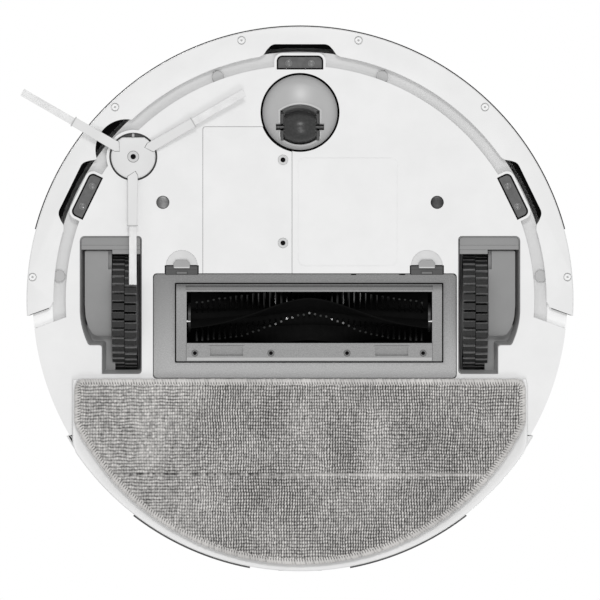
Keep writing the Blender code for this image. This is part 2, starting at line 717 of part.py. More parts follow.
def brush_chamber():
    outer = box(-82, 94, -14, 48, CHAMBER_LOW, CHAMBER_TOP)
    left, right, _, _ = MOUTH_BOX
    vault = along_x(cylinder(0, 0, 19.6, left - 1, right + 1, 36), 0, BRUSH_Y, BRUSH_Z)
    mouth = box(left - 1, right + 1, BRUSH_Y - 19.6, BRUSH_Y + 19.6, 0, BRUSH_Z)
    outlet = box(-30, 42, 20, 60, 24, 38)
    bearings = along_x(cylinder(0, 0, 3.5, -100, 120, 16), 0, BRUSH_Y, BRUSH_Z)
    piece("brush_chamber", outer, "black_plastic", cuts=[vault, mouth, outlet, bearings])
    motor = along_x(cylinder(0, 0, 10, -17, 17, 24), 78, 30, 55)
    piece("brush_motor", motor, "steel")


def ring_plate(outer, inner, low, high, radius, inset=0.0):
    """A rectangular frame, and the cutter for its opening."""
    left, right, front, rear = outer
    plate = prism(rounded_rectangle(left, right, front, rear, radius), low, high)
    left, right, front, rear = inner
    opening = box(left - inset, right + inset, front - inset, rear + inset, low - 5, high + 5)
    return plate, opening


def brush_cover():
    plate, opening = ring_plate(FRAME_BOX, GUARD_BOX, FRAME_LOW, FRAME_HIGH, 2.0, GAP)
    cuts = [opening]
    for _, centre in LATCH_CENTRES:
        cuts.append(box(centre - 10.8, centre + 10.8, -20, -13.6, 0, 20))
    piece("brush_cover_frame", plate, "speckled_grey_plastic", cuts=cuts)
    plate, opening = ring_plate(GUARD_BOX, MOUTH_BOX, FRAME_LOW - 0.1, GUARD_HIGH, 1.0)
    piece("brush_guard", plate, "speckled_grey_plastic", cuts=[opening])


def cover_latches():
    for name, centre in LATCH_CENTRES:
        block = box(centre - 10.4, centre + 10.4, -21.8, -16.3, FRAME_LOW, 12.2)
        tab = box(centre - 5.4, centre + 5.4, -25.6, -21.0, FRAME_LOW, 10.6)
        piece("cover_latch_" + name, block, "black_plastic", [tab])


# Blower

def blower():
    inner = BLOWER_RADIUS - 2
    profile = [
        (0, BLOWER_LOW), (BLOWER_RADIUS, BLOWER_LOW), (BLOWER_RADIUS, BLOWER_HIGH), (17, BLOWER_HIGH),
        (17, BLOWER_HIGH - 2), (inner, BLOWER_HIGH - 2), (inner, BLOWER_LOW + 2), (0, BLOWER_LOW + 2),
    ]
    outlet = box(BLOWER_X + 10, BLOWER_X + 40, BLOWER_Y - 22, BLOWER_Y - 6, 30, 42)
    housing = moved(turned(profile, 24), BLOWER_X, BLOWER_Y)
    piece("blower_housing", housing, "black_plastic", cuts=[outlet])
    motor = [(0, 15.6), (13, 15.6), (13, 27), (2, 27), (2, 33.5), (0, 33.5)]
    piece("blower_motor", moved(turned(motor, 20), BLOWER_X, BLOWER_Y), "steel")
    pivot = (BLOWER_X, BLOWER_Y, 30)
    hub = [(2.5, 28.5), (23, 28.5), (23, 30), (8, 35), (6, 39), (2.5, 39)]
    blades = []
    for i in range(8):
        blade = box(5, 22.5, -0.9, 0.9, 29, 40.5)
        blades.append(moved(rotated(blade, 45 * i + 10), BLOWER_X, BLOWER_Y))
    impeller = moved(turned(hub, 24), BLOWER_X, BLOWER_Y)
    piece("blower_impeller", impeller, "light_grey_plastic", blades, pivot=pivot)
    left, right, front, rear = DUCT_BOX
    duct = box(left, right, front, rear, DUCT_LOW, DUCT_HIGH)
    hollow = box(left + 2, right - 2, front + 2, rear + 5, DUCT_LOW + 2, DUCT_HIGH - 2)
    inlet = cylinder(BLOWER_X, BLOWER_Y, 17, DUCT_LOW - 2, DUCT_LOW + 5)
    piece("fan_duct", duct, "black_plastic", cuts=[hollow, inlet])


def main_board():
    piece("main_board", box(-95, 2, -105, -25, 52, 53.6), "circuit_board")


# Rear module and mop

def rear_outline(radius, front, half_width=None):
    """A straight front edge closed by a round rear. A half width cuts the sides straight."""
    width = half_width or sqrt(radius ** 2 - front ** 2)
    start = 180 - degrees(asin(width / radius))
    arc = polar_arc(radius, start, 360 - start)
    if half_width:
        return [(width, front)] + arc + [(-width, front)]
    return arc


def tank():
    outer = prism(rear_outline(TANK_RADIUS, TANK_FRONT_Y), UNDERSIDE, TANK_HIGH)
    hollow = prism(
        rear_outline(TANK_RADIUS - TANK_WALL, TANK_FRONT_Y - 3), UNDERSIDE + TANK_WALL, TANK_HIGH - TANK_WALL
    )
    button_hole = box(-14.4, 14.4, 160, 180, 27.6, 40.4)
    plug_hole = rotated(moved(rotated(cylinder(0, 0, 7.8, -10, 10), 90, "X"), 0, 172, 34), 22)
    piece("tank_shell", outer, "white_plastic", cuts=[hollow, button_hole, plug_hole])
    plug = rotated(moved(rotated(cylinder(0, 0, 7.4, -3, 3), 90, "X"), 0, 171, 34), 22)
    piece("tank_fill_plug", plug, "grey_plastic")
    button = box(-14, 14, 163, 173.8, 28, 40)
    piece("tank_release_button", button, "light_grey_plastic")


def dust_bin():
    left, right, front, rear = BIN_BOX
    wall = 1.6
    outer = box(left, right, front, rear, BIN_LOW, BIN_HIGH)
    hollow = box(left + wall, right - wall, front + wall, rear - wall, BIN_LOW + wall, BIN_HIGH - wall)
    inlet = box(-30, 42, front - 3, front + 3, 24, 38)
    window = box(9.7, 54.3, front - 3, front + 3, 45, 57)
    piece("dust_bin", outer, "smoked_window", cuts=[hollow, inlet, window])
    piece("dust_filter", box(10, 54, front + 0.2, front + 9, 45.3, 56.7), "filter_paper")


def mop():
    outline = rear_outline(MOP_PLATE_RADIUS, MOP_PLATE_FRONT_Y, MOP_PLATE_HALF_WIDTH)
    piece("mop_plate", prism(outline, MOP_PLATE_LOW, MOP_PLATE_HIGH), "bright_white_plastic")
    start = degrees(asin((PAD_SIDE_END_Y - PAD_ARC_CENTRE_Y) / PAD_ARC_RADIUS))
    corner = 4.5
    front = PAD_FRONT_Y + corner
    pad = circle_arc(PAD_HALF_WIDTH - corner, front, corner, -90, 0, 30)
    pad += circle_arc(0, PAD_ARC_CENTRE_Y, PAD_ARC_RADIUS, start, 180 - start, 5)
    pad += circle_arc(corner - PAD_HALF_WIDTH, front, corner, 180, 270, 30)
    piece("mop_pad", prism(pad, 0, PAD_THICKNESS), "microfibre")


# Top of the robot

def lidar_turret():
    rim = TURRET_BASE_RADIUS
    base = [
        (rim, 66), (rim, 81.4), (rim + 3, 81.4), (rim + 3, 83), (rim - 2, 83), (rim - 2, 68), (6, 68), (6, 66),
    ]
    piece("lidar_base", moved(turned(base, 36), 0, TURRET_Y), "grey_plastic")
    pivot = (0, TURRET_Y, 80)
    rotor = [(0, 67), (5.5, 67), (5.5, 72), (33, 72), (33, 74), (28, 76), (28, 91), (0, 91)]
    piece("lidar_rotor", moved(turned(rotor, 32), 0, TURRET_Y), "black_plastic", pivot=pivot)
    cap_radius = TURRET_CAP_RADIUS
    cap = [(0, 93), (cap_radius - 1, 93), (cap_radius, 94), (cap_radius, 95.8), (cap_radius - 2, TURRET_TOP)]
    cap.append((0, TURRET_TOP))
    pillars = []
    for direction in (60, 180, 300):
        pillar = sector(34.5, 39.2, direction - 9, direction + 9, 84.6, 93.6)
        pillars.append(moved(pillar, 0, TURRET_Y))
    piece("lidar_cap", moved(turned(cap, 36), 0, TURRET_Y), "light_grey_plastic", pillars)


def buttons():
    for name, x in BUTTON_XS:
        profile = [(0, 79.0), (BUTTON_RADIUS, 79.0), (BUTTON_RADIUS, 81.2), (BUTTON_RADIUS - 1, 81.6), (0, 81.8)]
        piece(name, moved(turned(profile, 24), x, BUTTON_Y), "light_grey_plastic")


def build():
    clear_scene()
    chassis_base()
    top_cover()
    battery_bay()
    cliff_sensors()
    charging_contacts()
    bumper()
    bumper_switches()
    wheel_wells()
    suspensions()
    drive_wheels()
    caster_cup()
    caster()
    side_brush()
    side_brush_motor()
    main_brush()
    brush_chamber()
    brush_cover()
    cover_latches()
    blower()
    main_board()
    tank()
    dust_bin()
    mop()
    lidar_turret()
    buttons()


build()
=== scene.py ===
"""The looks of the robot vacuum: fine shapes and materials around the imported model.

Lengths are in millimetres, and the meshes are scaled to metres. Forward is -Y and up is +Z.
Angles round the body are in degrees from the front, positive towards +X, the robot's left.
The camera looks straight up at the underside, with the robot's front at the top of the picture.
"""
from collections import namedtuple
from math import acos, asin, ceil, cos, degrees, pi, radians, sin, sqrt, tau

import bmesh
import bpy
import numpy as np
from mathutils import Matrix, Vector

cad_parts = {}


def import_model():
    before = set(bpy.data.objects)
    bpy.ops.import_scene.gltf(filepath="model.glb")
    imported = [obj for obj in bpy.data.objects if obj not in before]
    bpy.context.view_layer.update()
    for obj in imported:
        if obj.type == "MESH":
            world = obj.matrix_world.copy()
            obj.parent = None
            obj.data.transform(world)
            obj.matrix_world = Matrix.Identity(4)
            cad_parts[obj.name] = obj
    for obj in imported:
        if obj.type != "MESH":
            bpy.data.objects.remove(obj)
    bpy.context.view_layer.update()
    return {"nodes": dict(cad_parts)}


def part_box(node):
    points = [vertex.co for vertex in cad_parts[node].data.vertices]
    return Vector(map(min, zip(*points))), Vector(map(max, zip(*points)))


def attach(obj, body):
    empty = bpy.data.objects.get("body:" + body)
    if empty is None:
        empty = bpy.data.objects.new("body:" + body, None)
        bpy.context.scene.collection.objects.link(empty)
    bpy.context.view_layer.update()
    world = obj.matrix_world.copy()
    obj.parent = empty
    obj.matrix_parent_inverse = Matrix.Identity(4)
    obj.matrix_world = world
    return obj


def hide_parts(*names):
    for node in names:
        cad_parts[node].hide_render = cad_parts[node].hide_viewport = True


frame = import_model()

MM = 0.001
Span = namedtuple("Span", "x0 x1 y0 y1 z0 z1")
SIDES = (("left", 1), ("right", -1))
FINE = 1.5                      # degrees between the points of a large round edge


def span(node):
    """The box of a CAD node at rest, in millimetres."""
    low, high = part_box(node)
    return Span(*[value / MM for pair in zip(low, high) for value in pair])


def centre_of(node):
    """The middle of a node's box, seen from below."""
    return (node.x0 + node.x1) / 2, (node.y0 + node.y1) / 2


# Sizes that the boxes of the CAD nodes give
BASE = span("chassis_base")
BUMPER = span("bumper_shell")
STRIP = span("bumper_strip")
LID = span("battery_cover")
COVER = span("brush_cover_frame")
GUARD = span("brush_guard")
ROLL = span("main_brush")
TANK = span("tank_shell")
PLATE = span("mop_plate")
PAD = span("mop_pad")
TYRE = span("tyre_left")
WELL = span("wheel_well_left")
DOME = span("caster_fork")
ROLLER = span("caster_wheel")

# The white body and its underside
UNDERSIDE = BASE.z0
FLOOR_TOP = UNDERSIDE + 2.4
TUB_TOP = BASE.z1
FRONT_RADIUS = 150.0            # the front half, inside the bumper
WING_RADIUS = BASE.x1           # the wings beside the mop pad
REAR_RADIUS = 173.0             # the rear module
FRONT_END_ANGLE = 94.2
WING_ANGLE = 96.2
LABEL_PLACE = (-1.5, 62.4, -91.2, -21.6)
DISH_Y = -21.8                  # the finger dishes in front of the latches
DOOR_SCREWS = ((-10.9, -89.7), (-10.9, -36.5))

# The bumper and the channel behind it
LEDGE_OUTER_RADIUS = 159.0
LEDGE_LOW = 15.5
BUMPER_RADIUS = 175.1
BUMPER_INNER_RADIUS = 157.7
BUMPER_WALL = 2.4
BUMPER_OUTER_END = 93.3
BUMPER_INNER_END = 91.4
BUMPER_SWEEP = 97.0             # how far round it is turned before its ends are cut slanting
STRIP_RADIUS = 176.15
STRIP_HALF_ANGLE = 75.0
SCREW_PLACES = ((171.9, -85.1), (171.1, -43.8), (170.4, -12.7), (170.4, 12.7), (171.1, 43.8), (171.9, 85.1))
PEG_PLACES = ((152.3, 20.2), (152.3, -20.2), (154.9, 84.3), (154.9, -84.3))

# The cliff sensors
SENSOR_RADIUS = 152.0
SENSOR_WIDTH = 29.6
SENSOR_DEPTH = 8.7
SENSOR_BEZEL = 1.7
SENSOR_ANGLES = (("front", 0.0), ("left", 64.0), ("right", -64.0))

# The gearbox arm beside each drive wheel
ARM_INNER = 120.6
ARM_OUTER = 137.8
ARM_FRONT = -31.7
ARM_REAR = 23.0

# The caster
CASTER_Y = DOME.y0 + 24.0
CASTER_HOLE_RADIUS = 25.3
DOME_RADIUS = 24.0
AXLE_Y = (ROLLER.y0 + ROLLER.y1) / 2

# The side brush
BRUSH_X, BRUSH_Y = centre_of(span("side_brush_screw"))
BRUSH_HOLE_RADIUS = 15.4
BRUSH_HUB_RADIUS = 14.5
ARM_DIRECTIONS = (90.0, 210.0, 330.0)
ARM_REACH = 44.0
TUFT_REACH = 82.0

# The main brush, the guard round it, and the latches of the cover
GUARD_FRONT = GUARD.y0 + 0.6
GUARD_REAR = GUARD.y1 - 1.1
MOUTH = (-72.6, 84.6, -5.3, 27.6)
GUARD_SCREWS = ((-67.3, 34.0), (-18.6, 34.0), (30.1, 34.0), (78.8, 34.0))
ROLL_Y = 11.1
ROLL_Z = 19.5
ROLL_RADIUS = 17.0
ROLL_LEFT = ROLL.x0 + 6.5
ROLL_RIGHT = ROLL.x1 - 6.5
TUFT_ANGLES = (-8.5, -110.0, 125.0)
BLADE_ANGLES = (-54.0, 66.0, 186.0)
LATCH_CENTRES = (("left", 81.2), ("right", -75.7))

# The mop pad: its rear edge is one arc, and its loops stand in rows
PAD_ARC_Y = 9.1
PAD_CORNER = 4.5
LOOP_ROW_PITCH = 2.05
LOOP_COLUMN_PITCH = 1.63
SEAM_Y = 111.5
STITCH_PITCH = 1.7
HEM_SIDES = 14

# The turret on top
TURRET_Y = 42.0


# Outlines

def polar(radius, angle):
    """A point at this radius, at this angle from the front, positive towards +X."""
    return (radius * sin(radians(angle)), -radius * cos(radians(angle)))


def sweep(start, end, step=FINE):
    count = max(1, ceil(abs(end - start) / step - 1e-6))
    return [start + (end - start) * i / count for i in range(count + 1)]


def polar_arc(radius, start, end, step=FINE):
    return [polar(radius, angle) for angle in sweep(start, end, step)]


def circle_arc(x, y, radius, start, end, step=9.0):
    return [(x + radius * cos(radians(a)), y + radius * sin(radians(a))) for a in sweep(start, end, step)]


def circle(x, y, radius, steps=48):
    return circle_arc(x, y, radius, 0, 360, 360 / steps)[:-1]


def rounded_rectangle(left, right, front, rear, radius, step=15):
    corners = ((right - radius, rear - radius, 0), (left + radius, rear - radius, 90),
               (left + radius, front + radius, 180), (right - radius, front + radius, 270))
    points = []
    for x, y, start in corners:
        points += circle_arc(x, y, radius, start, start + 90, step)
    return points


def fillet(points, radii, step=15, pieces=None):
    """The outline with each corner rounded by its radius; 0 keeps the corner."""
    rounded = []
    count = len(points)
    for i, radius in enumerate(radii):
        corner = Vector(points[i])
        if radius == 0:
            rounded.append(tuple(corner))
            continue
        before = (Vector(points[i - 1]) - corner).normalized()
        after = (Vector(points[(i + 1) % count]) - corner).normalized()
        half = before.angle(after) / 2
        reach = radius / np.tan(half)
        centre = corner + (before + after).normalized() * radius / sin(half)
        first = corner + before * reach - centre
        turn = first.angle_signed(corner + after * reach - centre)
        share = pieces or max(2, ceil(degrees(abs(turn)) / step))
        for j in range(share + 1):
            spoke = Matrix.Rotation(-turn * j / share, 2) @ first
            rounded.append(tuple(centre + spoke))
    return rounded


# Solids

def prism(outline, low, high):
    shape = bmesh.new()
    bottom = [shape.verts.new((x, y, low)) for x, y in outline]
    top = [shape.verts.new((x, y, high)) for x, y in outline]
    shape.faces.new(bottom[::-1])
    shape.faces.new(top)
    for i in range(len(outline)):
        j = (i + 1) % len(outline)
        shape.faces.new((bottom[i], bottom[j], top[j], top[i]))
    bmesh.ops.recalc_face_normals(shape, faces=shape.faces)
    return shape


def box(left, right, front, rear, low, high):
    return prism([(left, front), (right, front), (right, rear), (left, rear)], low, high)


def cylinder(x, y, radius, low, high, steps=48):
    return prism(circle(x, y, radius, steps), low, high)


def sector(inner, outer, start, end, low, high, step=FINE):
    return prism(polar_arc(outer, start, end, step) + polar_arc(inner, end, start, step), low, high)


def lofted(rings, cyclic=False, capped=True):
    """A skin through rings of points, each with the same number of points."""
    shape = bmesh.new()
    loops = [[shape.verts.new(point) for point in ring] for ring in rings]
    pairs = list(zip(loops, loops[1:] + (loops[:1] if cyclic else [])))
    for near, far in pairs:
        for i in range(len(near)):
            j = (i + 1) % len(near)
            shape.faces.new((near[i], near[j], far[j], far[i]))
    if capped and not cyclic:
        shape.faces.new(loops[0][::-1])
        shape.faces.new(loops[-1])
    bmesh.ops.recalc_face_normals(shape, faces=shape.faces)
    return shape


def stacked(outlines):
    """A solid through (outline, height) layers of equal length."""
    return lofted([[(x, y, z) for x, y in outline] for outline, z in outlines])


def ringed(outlines):
    """A closed band through (outline, height) layers, the last joined to the first."""
    return lofted([[(x, y, z) for x, y in outline] for outline, z in outlines], cyclic=True)


def turned(profile, steps=96, start=0.0, end=360.0):
    """A profile of (radius, height) turned about Z, all round or over a stretch measured from the front."""
    if end - start < 360:
        angles = sweep(start, end)
        rings = [[(*polar(radius, angle), height) for radius, height in profile] for angle in angles]
        return lofted(rings)
    shape = bmesh.new()
    rings = []
    for radius, height in profile:
        if radius == 0:
            rings.append([shape.verts.new((0, 0, height))] * steps)
            continue
        turns = [tau * i / steps for i in range(steps)]
        rings.append([shape.verts.new((radius * cos(a), radius * sin(a), height)) for a in turns])
    for near, far in zip(rings, rings[1:] + rings[:1]):
        for i in range(steps):
            j = (i + 1) % steps
            corners = list(dict.fromkeys((near[i], near[j], far[j], far[i])))
            if len(corners) > 2:
                shape.faces.new(corners)
    bmesh.ops.recalc_face_normals(shape, faces=shape.faces)
    return shape


def moved(shape, x=0.0, y=0.0, z=0.0):
    bmesh.ops.translate(shape, vec=(x, y, z), verts=shape.verts)
    return shape


def rotated(shape, angle, axis="Z"):
    matrix = Matrix.Rotation(radians(angle), 3, axis)
    bmesh.ops.rotate(shape, cent=(0, 0, 0), matrix=matrix, verts=shape.verts)
    return shape


def along_x(shape, x=0.0, y=0.0, z=0.0):
    return moved(rotated(shape, 90, "Y"), x, y, z)


def merged(shapes):
    """Several separate shapes in one mesh."""
    whole = bmesh.new()
    for shape in shapes:
        mesh = bpy.data.meshes.new("part")
        shape.to_mesh(mesh)
        shape.free()
        whole.from_mesh(mesh)
        bpy.data.meshes.remove(mesh)
    return whole


def drawn_across(profile, left, right):
    """A profile of (y, z) points drawn out along X."""
    return lofted([[(x, y, z) for y, z in profile] for x in (left, right)])


# Pieces

def linked(name, data):
    """A new object in the scene."""
    made = bpy.data.objects.new(name, data)
    bpy.context.scene.collection.objects.link(made)
    return made


def mesh_object(name, shape):
    mesh = bpy.data.meshes.new(name)
    shape.to_mesh(mesh)
    shape.free()
    return linked(name, mesh)


def combine(target, shape, operation):
    """Join a shape to the target, or cut it away, and keep the result."""
    tool = mesh_object("tool", shape)
    step = target.modifiers.new("step", "BOOLEAN")
    step.operation = operation
    step.solver = "EXACT"
    step.object = tool
    graph = bpy.context.evaluated_depsgraph_get()
    result = bpy.data.meshes.new_from_object(target.evaluated_get(graph))
    target.modifiers.clear()
    plain = target.data
    target.data = result
    bpy.data.meshes.remove(plain)
    bpy.data.objects.remove(tool, do_unlink=True)


def flatten(mesh):
    """Join faces that lie in one plane, so that edges can be rounded cleanly."""
    shape = bmesh.new()
    shape.from_mesh(mesh)
    bmesh.ops.remove_doubles(shape, verts=shape.verts, dist=0.002)
    bmesh.ops.dissolve_limit(
        shape, angle_limit=radians(0.2), verts=shape.verts, edges=shape.edges, use_dissolve_boundaries=False
    )
    shape.to_mesh(mesh)
    shape.free()


def round_edges(made, width, segments):
    rounding = made.modifiers.new("rounding", "BEVEL")
    rounding.width = width
    rounding.segments = segments
    rounding.limit_method = "ANGLE"
    rounding.angle_limit = radians(32)
    rounding.use_clamp_overlap = True
    rounding.harden_normals = True


def piece(name, shape, body, material, joins=(), cuts=(), replaces=None, bevel=0.0, segments=2):
    """One visible piece that rides on a body. A bevel of 0 keeps its edges sharp."""
    made = mesh_object(name, shape)
    for extra in joins:
        combine(made, extra, "UNION")
    for extra in cuts:
        combine(made, extra, "DIFFERENCE")
    if joins or cuts:
        flatten(made.data)
    made.data.transform(Matrix.Scale(MM, 4))
    made.data.materials.clear()
    made.data.materials.append(material)
    made.data.shade_smooth()
    if bevel:
        round_edges(made, bevel * MM, segments)
    else:
        made.data.set_sharp_from_angle(angle=radians(35))
    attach(made, body)
    if replaces:
        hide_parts(replaces)
    return made


def keep_shared(target, shape):
    """Keep only what the target shares with a shape given in millimetres."""
    bmesh.ops.scale(shape, vec=(MM, MM, MM), verts=shape.verts)
    roundings = [(m.width, m.segments) for m in target.modifiers]
    target.modifiers.clear()
    combine(target, shape, "INTERSECT")
    target.data.shade_smooth()
    for width, segments in roundings:
        round_edges(target, width, segments)


# Materials

def grey(value, warmth=0.0):
    """A linear colour from a grey of 0 to 255, a little warmer if asked."""
    level = ((value / 255 + 0.055) / 1.055) ** 2.4
    return (level * (1 + warmth), level, level * (1 - warmth), 1.0)


class Nodes:
    """A small helper to build a material's node tree."""

    def __init__(self, name):
        self.material = bpy.data.materials.new(name)
        self.material.use_nodes = True
        self.tree = self.material.node_tree
        self.shader = self.tree.nodes["Principled BSDF"]
        self.coordinates = self.tree.nodes.new("ShaderNodeTexCoord")

    def add(self, kind, **settings):
        node = self.tree.nodes.new(kind)
        for key, value in settings.items():
            if key.startswith("in_"):
                node.inputs[key[3:].replace("_", " ")].default_value = value
            else:
                setattr(node, key, value)
        return node

    def link(self, source, target):
        self.tree.links.new(source, target)

    def noise(self, scale, detail=2.0, roughness=0.5):
        node = self.add("ShaderNodeTexNoise", in_Scale=scale, in_Detail=detail, in_Roughness=roughness)
        self.link(self.coordinates.outputs["Object"], node.inputs["Vector"])
        return node.outputs["Fac"]

    def ramp(self, factor, stops):
        node = self.add("ShaderNodeValToRGB")
        points = node.color_ramp.elements
        while len(points) < len(stops):
            points.new(0.5)
        for point, (place, colour) in zip(points, stops):
            point.position = place
            point.color = colour
        self.link(factor, node.inputs["Fac"])
        return node.outputs["Color"]

    def bump(self, height, strength, distance):
        node = self.add("ShaderNodeBump", in_Strength=strength, in_Distance=distance * MM)
        self.link(height, node.inputs["Height"])
        self.link(node.outputs["Normal"], self.shader.inputs["Normal"])

    def surface(self, **values):
        for key, value in values.items():
            self.shader.inputs[key.replace("_", " ")].default_value = value

    def colour(self, factor, *stops):
        """Colour the surface by a factor, through (place, colour) stops."""
        self.link(self.ramp(factor, stops), self.shader.inputs["Base Color"])

    def texture(self, kind, **settings):
        """A texture node that is laid out in the object's own coordinates."""
        node = self.add(kind, **settings)
        self.link(self.coordinates.outputs["Object"], node.inputs["Vector"])
        return node

    def mixed(self, factor, first, second, blend="MIX"):
        """Two colours mixed by a factor, which is a number or the output of a node."""
        node = self.add("ShaderNodeMix", data_type="RGBA", blend_type=blend)
        if isinstance(factor, float):
            node.inputs["Factor"].default_value = factor
        else:
            self.link(factor, node.inputs["Factor"])
        self.link(first, node.inputs["A"])
        self.link(second, node.inputs["B"])
        return node.outputs["Result"]


def moulded_plastic(name, value, roughness=0.42, grain=0.12, spread=2.0):
    """Injection-moulded plastic: an even colour, slightly mottled, with a fine eroded grain."""
    nodes = Nodes(name)
    nodes.colour(nodes.noise(45.0, 3.0), (0.35, grey(value - spread)), (0.65, grey(value + spread)))
    nodes.bump(nodes.noise(4200.0, 2.0), grain, 0.05)
    nodes.surface(Roughness=roughness, IOR=1.5)
    return nodes.material


def speckled_plastic_with_painted_shade(name, front, rear, start, end, fleck=16.0):
    """Grey plastic with fine light and dark flecks, and painted shade along Y: darker at the start, lighter
    at the end.
    """
    nodes = Nodes(name)
    flecks = nodes.noise(1500.0, 4.0, 0.75)
    shaded_tones = []
    for value in (front, rear):
        stops = ((0.33, grey(value - fleck)), (0.5, grey(value)), (0.67, grey(value + fleck)))
        shaded_tones.append(nodes.ramp(flecks, stops))
    axes = nodes.texture("ShaderNodeSeparateXYZ")
    place = nodes.add("ShaderNodeMapRange", in_From_Min=start * MM, in_From_Max=end * MM)
    nodes.link(axes.outputs["Y"], place.inputs["Value"])
    mix = nodes.mixed(place.outputs["Result"], *shaded_tones)
    nodes.link(mix, nodes.shader.inputs["Base Color"])
    nodes.bump(nodes.noise(2600.0, 3.0), 0.35, 0.06)
    nodes.surface(Roughness=0.55, IOR=1.5)
    return nodes.material


def flat_black(name, value):
    """Deep black that hardly reflects."""
    nodes = Nodes(name)
    nodes.colour(nodes.noise(300.0, 3.0), (0.4, grey(value)), (0.8, grey(value + 6)))
    nodes.surface(Roughness=0.8, IOR=1.4, Specular_IOR_Level=0.15)
    return nodes.material


def shiny_black(name, value):
    """Black nylon with clear highlights."""
    nodes = Nodes(name)
    nodes.colour(nodes.noise(500.0, 3.0), (0.4, grey(value)), (0.8, grey(value + 10)))
    nodes.surface(Roughness=0.2, IOR=1.5, Specular_IOR_Level=0.5)
    return nodes.material


def rubber(name, value, roughness=0.7):
    """Rubber with a fine dusty bloom."""
    nodes = Nodes(name)
    nodes.colour(nodes.noise(700.0, 4.0, 0.6), (0.4, grey(value)), (0.75, grey(value + 14)))
    nodes.bump(nodes.noise(3000.0, 3.0), 0.3, 0.08)
    nodes.surface(Roughness=roughness, IOR=1.45)
    return nodes.material


def brushed_metal(name, value, roughness=0.28):
    """Metal with fine scratches."""
    nodes = Nodes(name)
    nodes.colour(nodes.noise(900.0, 5.0, 0.7), (0.3, grey(value - 12)), (0.7, grey(value + 12)))
    nodes.bump(nodes.noise(2400.0, 4.0), 0.1, 0.03)
    nodes.surface(Roughness=roughness, Metallic=1.0)
    return nodes.material


def smoked_window(name, value):
    """Dark tinted plastic that infrared passes through."""
    nodes = Nodes(name)
    nodes.colour(nodes.noise(260.0, 3.0), (0.3, grey(value - 8)), (0.7, grey(value + 10)))
    nodes.bump(nodes.noise(3000.0, 2.0), 0.05, 0.03)
    nodes.surface(Roughness=0.25, IOR=1.5, Coat_Weight=0.3)
    return nodes.material


def bristle(name, value, tip):
    """Nylon bristle, with a little colour change from strand to strand."""
    nodes = Nodes(name)
    nodes.colour(nodes.noise(120.0, 1.0), (0.35, grey(value)), (0.7, grey(tip)))
    nodes.surface(Roughness=0.35, IOR=1.5, Sheen_Weight=0.2)
    return nodes.material


def pleated_paper(name):
    """The folded paper of the dust filter, darker in its folds: painted shade that follows the pleats."""
    nodes = Nodes(name)
    pleats = nodes.texture("ShaderNodeTexWave", in_Scale=160.0, in_Distortion=0.2).outputs["Fac"]
    nodes.colour(pleats, (0.2, grey(170, 0.03)), (0.8, grey(225, 0.03)))
    nodes.bump(pleats, 0.6, 0.6)
    nodes.surface(Roughness=0.9)
    return nodes.material


def printed_board(name):
    """The green lacquer of the main board, with darker tracks."""
    nodes = Nodes(name)
    tracks = nodes.texture("ShaderNodeTexVoronoi", in_Scale=220.0)
    nodes.colour(tracks.outputs["Distance"], (0.1, (0.01, 0.09, 0.04, 1)), (0.6, (0.02, 0.16, 0.07, 1)))
    nodes.surface(Roughness=0.4)
    return nodes.material


def battery_wrap(name):
    """The creased blue film round the battery cells, darker in its creases: painted shade that follows the
    creases.
    """
    nodes = Nodes(name)
    crease = nodes.noise(90.0, 4.0)
    nodes.colour(crease, (0.3, (0.02, 0.05, 0.12, 1)), (0.7, (0.03, 0.08, 0.18, 1)))
    nodes.bump(crease, 0.4, 0.4)
    nodes.surface(Roughness=0.3)
    return nodes.material


def microfibre(name, dark, light):
    """Looped microfibre: painted shade darkens the valleys between the loops, and their crowns are lighter.
    """
    nodes = Nodes(name)
    relief = nodes.add("ShaderNodeAttribute", attribute_name="loop_shade")
    # Painted shade: the colour follows the height of the loops, dark in the valleys.
    crown = nodes.ramp(relief.outputs["Fac"], ((0.05, grey(dark, 0.02)), (0.8, grey(light, 0.025))))
    tint = nodes.ramp(nodes.noise(28.0, 3.0), ((0.32, grey(232)), (0.68, grey(255))))
    mix = nodes.mixed(1.0, crown, tint, "MULTIPLY")
    nodes.link(mix, nodes.shader.inputs["Base Color"])
    nodes.bump(nodes.noise(2600.0, 3.0, 0.7), 0.7, 0.25)
    nodes.surface(Roughness=0.95, Sheen_Weight=0.35, Sheen_Roughness=0.5)
    return nodes.material


# The number after each name is its grey, from 0 to 255
WHITE = moulded_plastic("white_plastic", 236, 0.4)
BRIGHT = moulded_plastic("bright_white_plastic", 236, 0.36)
# A darker copy of the white plastic: painted shade on the floor of the channel behind the bumper.
SHADED_GROOVE_WHITE = moulded_plastic("groove_painted_shade_plastic", 220, 0.45)
MID_GREY = moulded_plastic("grey_plastic", 143, 0.5, 0.2)
TAB_GREY = moulded_plastic("latch_tab_plastic", 160, 0.4)
# A darker copy of the white plastic: painted shade in the finger dishes.
SHADED_DISH_WHITE = moulded_plastic("dish_painted_shade_plastic", 222, 0.4)
LIGHT_GREY = moulded_plastic("light_grey_plastic", 205, 0.35)
PEG_GREY = moulded_plastic("peg_rubber", 188, 0.6)
SCREW_GREY = moulded_plastic("screw_coating", 214, 0.4)
DRIVE_SHADE_GREY = moulded_plastic("screw_drive_painted_shade", 180, 0.5)
# A lighter copy of the grey plastic: painted light that lifts the shade on the walls of the wheel wells.
LIT_LINER_GREY = moulded_plastic("well_liner_painted_light_plastic", 172, 0.5, 0.2)
